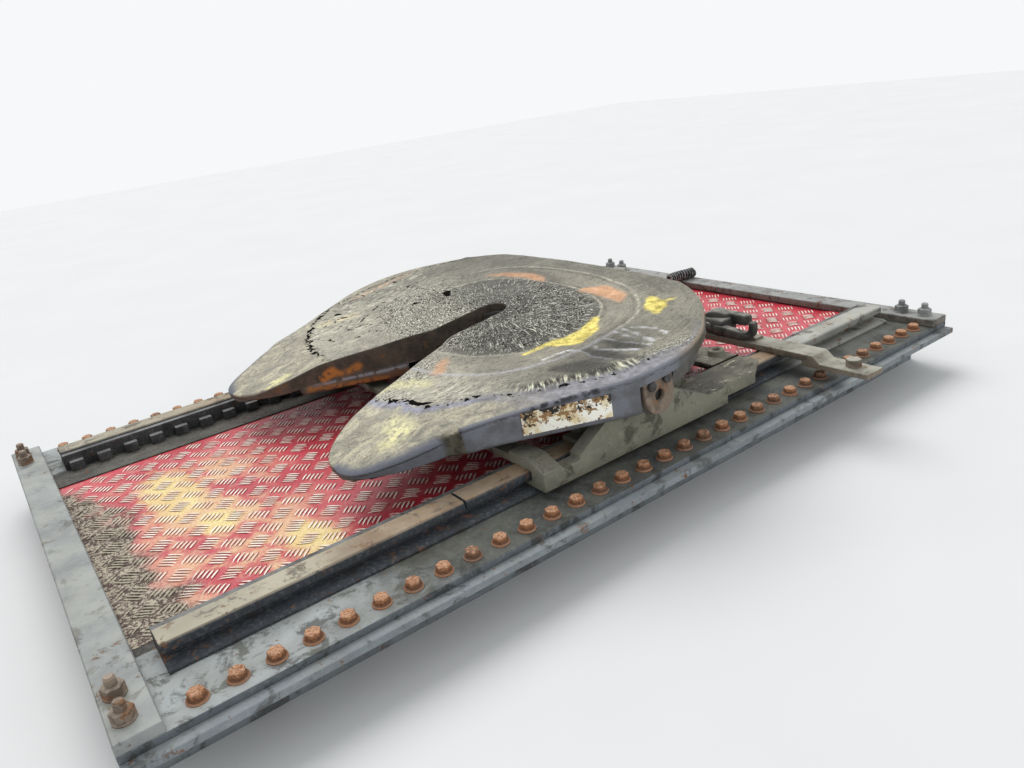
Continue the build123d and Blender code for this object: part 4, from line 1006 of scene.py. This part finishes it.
def swept(path, wide, high, dome=0.008):
    """Rounded bar: squarish ovals (power 3.4) on a curve in a plane across X, with half sizes that
    change along it. The ends are closed by domes."""
    curve = flowing(path, 0.002)
    size = path_length(curve)
    phi = np.linspace(0.12, math.pi / 2, 7)
    lengths = np.r_[dome * (1 - np.cos(phi)), np.linspace(dome, size - dome, 40)[1:-1],
                    size - dome * (1 - np.cos(phi[::-1]))]
    scale = np.r_[np.sin(phi), np.ones(38), np.sin(phi[::-1])][:, None]
    centre = along(curve, lengths)
    d = along(curve, np.minimum(lengths + 0.001, size)) - along(curve, np.maximum(lengths - 0.001, 0))
    d /= np.linalg.norm(d, axis=1)[:, None]
    upward = np.cross(d, (1, 0, 0))
    sides, power = 28, 3.4
    a = np.linspace(0, 2 * math.pi, sides, endpoint=False)
    c, s = (np.sign(q) * np.abs(q) ** (2 / power) for q in (np.cos(a), np.sin(a)))
    at = np.linspace(0, size, len(wide))
    w = np.interp(lengths, at, wide)[:, None] * scale
    h = np.interp(lengths, at, high)[:, None] * scale
    return centre[:, None] + (w * c)[..., None] * np.array((1, 0, 0)) + (h * s)[..., None] * upward[:, None]


def fork_bracket():
    """Cast fork: a hub, a long arm that ends in an upturned tip, a short arm with a round tip and
    a round bolt head on the hub's rear face."""
    low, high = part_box("fork_bracket")
    x, y, z, top = (low.x + high.x) / 2, high.y, low.z, high.z
    hub = swept(((x, y, z + 0.017), (x, y - 0.026, z + 0.017), (x, y - 0.056, z + 0.016)),
                (0.023, 0.024, 0.021), (0.016, 0.0175, 0.014))
    long_arm = swept(((x - 0.015, y - 0.03, z + 0.012), (x - 0.016, y - 0.07, z + 0.01),
                      (x - 0.016, y - 0.1, z + 0.01), (x - 0.016, y - 0.114, z + 0.017),
                      (x - 0.016, y - 0.117, top - 0.001)), (0.01, 0.0085, 0.008, 0.008, 0.0075),
                     (0.01, 0.0095, 0.0085, 0.007, 0.0055), dome=0.004)
    short_arm = swept(((x + 0.013, y - 0.01, top - 0.016), (x + 0.014, y - 0.045, top - 0.013),
                       (x + 0.014, y - 0.088, top - 0.012)), (0.012, 0.01, 0.0105), (0.014, 0.011, 0.0105))
    hump = swept(((x, y - 0.004, z + 0.026), (x - 0.002, y - 0.03, top - 0.006),
                  (x + 0.006, y - 0.05, z + 0.028)), (0.018, 0.016, 0.01), (0.01, 0.012, 0.008))
    head = turned_profile([(0.008, 0), (0.008, 0.0035), (0.0065, 0.0055), (0.002, 0.006)], (0, 0, 0), 20)
    head = np.stack([x - 0.022 - head[..., 2], y - 0.02 + head[..., 0], z + 0.016 + head[..., 1]], -1)
    points, faces = [], []
    for part in (hub, long_arm, short_arm, hump, head):
        faces += capped(*part.shape[:2], offset=sum(len(q) for q in points))
        points.append(part.reshape(-1, 3))
    piece = new_piece("fork_bracket_cast", np.vstack(points), faces)
    weld(piece)
    place(piece, "mounting_frame", "casting", finish["fork_cast"], "fork_bracket")


fork_bracket()


def bolt_row(node, spots, rows, slot, material, seed):
    """One piece of many bolts, each a turned profile with a hexagonal head, turned at random. A
    row of the profile is radius, height and whether it has six flats."""
    rng = np.random.default_rng(seed)
    profile, flats = [row[:2] for row in rows], [row[2] for row in rows]
    points, faces, each = [], [], []
    for k, spot in enumerate(spots):
        p = turned_profile(profile, spot, BOLT_SIDES, flats, rng.uniform(0, math.pi / 3))
        points.append(p.reshape(-1, 3))
        each.append(np.full(len(points[-1]), rng.random()))
        faces += capped(len(rows), BOLT_SIDES, k * len(points[-1]))
    piece = new_piece(node + "_worn", np.vstack(points), faces, smooth=False)
    attribute(piece, "each", np.concatenate(each))
    weld(piece)
    place(piece, "mounting_frame", slot, material, node)


def flange_bolt_row(side, seed):
    """Row of flange bolts: thick round flange with a soft shoulder and a chamfered hexagon."""
    low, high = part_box(f"flange_bolts_{side}")
    r = (high.y - low.y) / 2
    x = low.x + r + (high.x - low.x - 2 * r) * np.arange(FLANGE_BOLTS) / (FLANGE_BOLTS - 1)
    spots = [(a, (low.y + high.y) / 2, low.z) for a in x]
    f, h = 0.0122, 0.0082
    rows = ((f, -0.0005, 0), (f, 0.0016, 0), (f - 0.0006, 0.0026, 0), (f - 0.0022, 0.0032, 0),
            (h + 0.0006, 0.0042, 1), (h, 0.005, 1), (h, 0.0098, 1), (h - 0.0003, 0.0106, 1),
            (h - 0.0018, 0.0114, 0), (0.0035, 0.0111, 0))
    bolt_row(f"flange_bolts_{side}", spots, rows, "rusty_steel", rusted_bolt, seed)


def rusted_bolt_material():
    """Rusty bolts: orange-brown, with a painted shadow ring at the hexagon's foot and bare bright
    metal on the heads' tops.
    """
    s = Shade("rusted_bolt", roughness=0.75, specular=0.25)
    fine, height = s.noise(0.0024, 4, 0.7), s.spot("Z")
    scuffed = s.step(s.plus(s.noise(0.006, 3), s.times("each", -0.2)), 0.25, 0.45)
    top = s.times(s.step(height, 0.0985, 0.1005), scuffed)
    rim = s.times(s.band(height, 0.092, 0.0012, 0.0004), s.step(fine, 0.4, 0.6))
    # dark ring at the foot of the hexagon, in the crease over the flange: painted shadow
    waist_shadow = s.times(s.step(height, 0.0915, 0.0935), s.step(height, 0.0975, 0.0945))
    tone = s.layers(
        s.blend(fine, 0.35, 0.65, (0.5, 0.225, 0.105), (0.2, 0.088, 0.043)),
        (s.step("each", 0.45, 0.95), 0.65, (0.17, 0.108, 0.075)),
        (top, 0.75, s.blend(fine, 0.4, 0.6, (0.66, 0.4, 0.25), (0.36, 0.19, 0.11))),
        (rim, 0.6, (0.58, 0.42, 0.31)),
        (waist_shadow, 0.7, (0.075, 0.036, 0.022)))
    return s.finish(tone, s.plus(0.6, s.times(fine, 0.3)), ((fine, 0.0006),))


BOLT_SIDES, FLANGE_BOLTS = 24, 33
rusted_bolt = rusted_bolt_material()
flange_bolt_row("right", 71)
flange_bolt_row("left", 72)


def strap_nuts(end, material):
    """Four hex nuts with washers, chamfers and threaded studs, at the CAD nuts' places."""
    low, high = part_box(f"{end}_strap_nuts")
    outer, spacing = high.y - 0.0118, 0.045
    spots = [((low.x + high.x) / 2, s * (outer - d), low.z) for d in (0, spacing) for s in (-1, 1)]
    h, stud, root = 0.0105, 0.0062, 0.0055
    rows = [(0.0122, -0.0004, 0), (0.0122, 0.0016, 0), (0.0112, 0.0024, 0), (h, 0.0026, 1), (h, 0.0125, 1),
            (h - 0.0014, 0.0138, 0), (stud, 0.0136, 0)]
    for z in 0.0142 + 0.00125 * np.arange(7):
        rows += [(stud, z, 0), (root, z + 0.0006, 0)]
    rows.append((0.0045, 0.0237, 0))
    bolt_row(f"{end}_strap_nuts", spots, rows, STEEL, material, 81)


strap_nuts("rear", finish["bolt_steel"])
strap_nuts("front", finish["grey_steel"])


def wrapped_hose():
    """Black hose in a spiral wrap: a tube whose radius swells along a helix, ends drawn in."""
    low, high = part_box("wrapped_hose")
    rings, sides, turns = 210, 36, 11
    r = (high.z - low.z) / 2
    t = np.linspace(0, 1, rings)[:, None]
    a = np.linspace(0, 2 * math.pi, sides, endpoint=False)[None, :]
    wind = np.abs(np.sin(math.pi * turns * t + a / 2)) ** 0.7
    taper = np.minimum(1, np.minimum(t, 1 - t) / 0.05 + 0.35) ** 0.5
    rad = r * (0.62 + 0.36 * wind) * taper
    points = np.stack([low.x + (high.x - low.x) * t + 0 * a,
                       (low.y + high.y) / 2 + 0.004 * np.sin(5 * t) + rad * np.cos(a),
                       (low.z + high.z) / 2 + rad * np.sin(a)], -1)
    piece = new_piece("wrapped_hose_wound", points, capped(rings, sides))
    attribute(piece, "wind", np.broadcast_to(wind, (rings, sides)))
    weld(piece)
    s = Shade("black_wrap", roughness=0.55)
    # light grey on the crests of the wrap: dust and painted glints
    dust = s.times(s.step(s.noise(0.006, 4, 0.7), 0.38, 0.55), s.step("wind", 0.72, 0.98))
    rubber = s.finish(s.mix(dust, (0.014, 0.014, 0.016), (0.3, 0.3, 0.285)),
                      s.plus(0.4, s.times(dust, 0.4)), ((s.noise(0.002, 2), 0.0003),))
    place(piece, "mounting_frame", "black_rubber", rubber, "wrapped_hose")


wrapped_hose()


# Chequer plate

CHEQUER_X, CHEQUER_Y = 0.053, 0.05
BAR_HALF, BAR_HEIGHT, BAR_SUNK = 0.0028, 0.002, 0.0003


def chequer_plate():
    """Thin plate with raised five-bar groups. A bar is a low lens: half width and height fall to
    nothing at its ends as a half ellipse. Groups alternate in direction on two offset grids.
    Between the straps the sheet's right side rises by a fold and laps over the mounting plate."""
    low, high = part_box("infill_plate")
    base, lap = high.z - 0.0006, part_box("mounting_plate_left")[1].z + 0.0006
    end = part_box("front_strap")[0].x - 0.0005
    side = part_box("lock_rack_left")[0].y - 0.001
    fold_y = (-side, -high.y - 0.001, -high.y + 0.019, high.y)
    fold_z = (lap, lap, base, base)
    slab = [(x, y, z) for x in (low.x, high.x) for y in (low.y, high.y) for z in (low.z, base - 0.0006)]
    faces = [[0, 1, 3, 2], [4, 6, 7, 5], [0, 4, 5, 1], [2, 3, 7, 6], [0, 2, 6, 4], [1, 5, 7, 3]]
    around = list(zip(fold_y, fold_z)) + [(y, z - 0.001) for y, z in zip(fold_y[::-1], fold_z[::-1])]
    slab += [(x, y, z) for x in (-end, end) for y, z in around]
    faces += loops(2, 8, offset=8) + [list(range(8, 16)), list(range(16, 24))[::-1]]
    t = np.linspace(-1, 1, 5)
    shape = np.sqrt(np.clip(1 - t ** 2, 0, 1)) * 0.8 + 0.2 * (1 - t ** 2)
    bar = []
    for across, rise in ((-1, 0), (-0.66, 0.3), (-0.42, 0.95), (0.42, 0.95), (0.66, 0.3), (1, 0)):
        bar.append(np.stack([t, across * BAR_HALF * shape, BAR_HEIGHT * rise * shape - BAR_SUNK], -1))
    bar = np.array(bar).transpose(1, 0, 2)
    centres, turns, halves = [], [], []
    for grid in (0, 1):
        xs = np.arange(low.x + 0.02 + grid * CHEQUER_X / 2, high.x - 0.015, CHEQUER_X)
        ys = np.arange(low.y + 0.02 - CHEQUER_Y + grid * CHEQUER_Y / 2, side, CHEQUER_Y)
        gx, gy = (q.ravel() for q in np.meshgrid(xs, ys))
        turn, half, gap = (math.radians(45), 0.0138, 0.0066) if grid else (math.radians(-45), 0.0152, 0.006)
        for k in (-2, -1, 0, 1, 2):
            centres.append(np.stack([gx - k * gap * math.sin(turn), gy + k * gap * math.cos(turn)], -1))
            turns.append(np.full(len(gx), turn))
            halves.append(np.full(len(gx), half))
    centres, turns, halves = np.vstack(centres), np.concatenate(turns), np.concatenate(halves)
    margin = 0.011
    ok = np.abs(centres[:, 0]) < end - margin
    ok &= (centres[:, 1] > margin - side) & (centres[:, 1] < high.y - margin)
    centres, turns, halves = centres[ok], turns[ok], halves[ok]
    c, s = np.cos(turns)[:, None, None], np.sin(turns)[:, None, None]
    run = bar[None, :, :, 0] * halves[:, None, None]
    x = centres[:, 0, None, None] + run * c - bar[None, :, :, 1] * s
    y = centres[:, 1, None, None] + run * s + bar[None, :, :, 1] * c
    z = np.interp(y, fold_y, fold_z) + bar[None, :, :, 2]
    points = np.stack([x, y, z], -1).reshape(-1, 3)
    n, k = bar.shape[:2]
    one = np.array(loops(n, k))
    first = len(slab) + np.arange(len(centres))[:, None, None] * n * k
    faces += (one[None] + first).reshape(-1, 4).tolist()
    piece = new_piece("chequer_plate", np.vstack([np.array(slab), points]), faces, smooth=False)
    bars = np.zeros(len(piece.data.vertices))
    bars[len(slab):] = np.tile(np.tile([-1.0, -1.0, 1.0, 1.0, -1.0, -1.0], n), len(centres))
    attribute(piece, "bar", bars)
    weld(piece, 1e-6, outward=False)
    return piece


def chequer_material():
    """Red paint on chequer plate: pale worn bars with painted highlights on their crowns and painted
    shadow with grime at their feet, pink and salmon wear in the rear, grey dirt by the rear strap,
    and dark grime with painted shade under the coupling."""
    s = Shade("red_chequer", roughness=0.35, specular=0.5)
    x, y, bar = s.spot("X"), s.spot("Y"), s.attr("bar")
    wide, mid, fine = s.noise(0.1, 4, 0.6), s.noise(0.03, 5, 0.65), s.noise(0.0035, 4, 0.7)
    worn = s.math("MAXIMUM", s.step(x, -0.25, -0.45), s.times(0.4, s.step(x, 0.3, 0.45)))
    pink = s.step(s.plus(s.times(mid, 0.6), s.plus(s.times(worn, 0.15), s.times(wide, 0.3))), 0.58, 0.74)
    belt = s.times(s.band(x, -0.53, 0.17, 0.03), s.step(y, 0.2, 0.11))
    sandy = s.times(belt, s.step(s.plus(wide, s.times(mid, 0.4)), 0.62, 0.78))
    core = 0.0
    for cx, cy, rx, ry in ((-0.565, 0.07, 0.045, 0.1), (-0.455, -0.24, 0.035, 0.055),
                           (-0.535, -0.08, 0.03, 0.04)):
        along_x = s.math("POWER", s.times(s.plus(x, -cx), 1 / rx), 2.0)
        along_y = s.math("POWER", s.times(s.plus(y, -cy), 1 / ry), 2.0)
        away = s.strayed(s.plus(along_x, along_y), mid, 3.0)
        core = s.math("MAXIMUM", core, s.step(away, 1.5, 0.3))
    # dark at the bars' feet: painted shadow and grime; pale on their crowns: wear and painted highlight
    foot_grime_shadow, crown_wear_glint = s.step(bar, 0.0, -0.6), s.step(bar, 0.1, 0.75)
    shore = s.strayed(s.plus(x, s.times(y, 0.14)), wide, 0.16)
    grit = s.times(s.step(shore, -0.635, -0.67), s.step(fine, 0.18, 0.32))
    clumps = s.step(s.noise(0.016, 4, 0.7, move=(5, 2, 0)), 0.5, 0.6)
    pebbles = s.plus(s.noise(0.0045, 3, 0.8, move=(2, 2, 0)), s.times(clumps, 0.1))
    soil = s.layers(
        s.blend(pebbles, 0.42, 0.58, (0.5, 0.46, 0.35), (0.05, 0.045, 0.034)),
        (foot_grime_shadow, 0.8, (0.035, 0.03, 0.024)),
        (crown_wear_glint, 0.55, (0.52, 0.46, 0.33)))
    grime = s.step(s.plus(s.times(mid, 0.7), s.times(fine, 0.3)), 0.6, 0.68)
    # under: near x = 0, below the coupling plate, where painted shade darkens the chequer
    under = s.step(s.math("ABSOLUTE", x), 0.38, 0.22)
    bare = s.step(s.plus(fine, s.times(worn, 0.1)), 0.36, 0.46)
    tone = s.layers(
        s.blend(wide, 0.35, 0.65, (0.48, 0.018, 0.035), (0.62, 0.05, 0.075)),
        (pink, 0.55, (0.7, 0.31, 0.27)),
        (sandy, 0.75, s.blend(fine, 0.35, 0.65, (0.95, 0.74, 0.36), (0.6, 0.4, 0.19))),
        (core, 0.75, s.blend(fine, 0.35, 0.65, (1.0, 0.88, 0.34), (0.72, 0.56, 0.2))),
        (foot_grime_shadow, 0.9, (0.1, 0.014, 0.012)),
        # pale crowns of the bars where worn: bare paint wear and painted highlight
        (crown_wear_glint, bare, s.blend(mid, 0.4, 0.62, (1.0, 0.93, 0.8), (0.8, 0.56, 0.46))),
        (grit, 0.95, soil),
        # grime stronger under the coupling plate and an even darker red there: painted shade
        (s.plus(s.times(under, 0.35), 0.15), grime, (0.07, 0.05, 0.045)),
        (under, 0.3, (0.1, 0.035, 0.035)))
    return s.finish(tone, s.plus(0.25, s.plus(s.times(grit, 0.5), s.times(fine, 0.2))), ((fine, 0.0003),))


place(chequer_plate(), "mounting_frame", "red_chequer", chequer_material(), "infill_plate")


# Floor, light and background

def studio():
    scene = bpy.context.scene
    scene.view_settings.view_transform = "Standard"
    scene.world = bpy.data.worlds.new("overcast")
    scene.world.use_nodes = True
    t = scene.world.node_tree
    light, seen = t.nodes["Background"], t.nodes.new("ShaderNodeBackground")
    for background, colour, strength in ((light, (0.93, 0.96, 1, 1), 0.66), (seen, (0.93, 0.94, 0.95, 1), 1)):
        background.inputs[0].default_value = colour
        background.inputs[1].default_value = strength
    path = t.nodes.new("ShaderNodeLightPath")
    blend = t.nodes.new("ShaderNodeMixShader")
    white = path.outputs["Is Camera Ray"]
    for ray in ("Is Glossy Ray", "Is Transmission Ray"):
        either = t.nodes.new("ShaderNodeMath")
        either.operation = "MAXIMUM"
        t.links.new(white, either.inputs[0])
        t.links.new(path.outputs[ray], either.inputs[1])
        white = either.outputs[0]
    for k, value in enumerate((white, light.outputs[0], seen.outputs[0])):
        t.links.new(value, blend.inputs[k])
    t.links.new(blend.outputs[0], t.nodes["World Output"].inputs[0])
    for name, turn, energy, angle in (("sky_light", (-0.5, 0.25, 0.3), 1.7, 0.8),
                                      ("side_light", (1.05, 0.1, 0.2), 0.35, 0.7)):
        lamp = bpy.data.objects.new(name, bpy.data.lights.new(name, "SUN"))
        lamp.data.energy = energy
        lamp.data.angle = angle
        lamp.rotation_euler = turn
        scene.collection.objects.link(lamp)
    floor = new_piece("floor", [(-9, -9, 0), (9, -9, 0), (9, 9, 0), (-9, 9, 0)], [(0, 1, 2, 3)], smooth=False)
    s = Shade("pale_floor", roughness=0.9)
    floor.data.materials.append(s.finish(s.mix(s.noise(0.4, 3), (0.72, 0.72, 0.71), (0.78, 0.78, 0.77))))


studio()
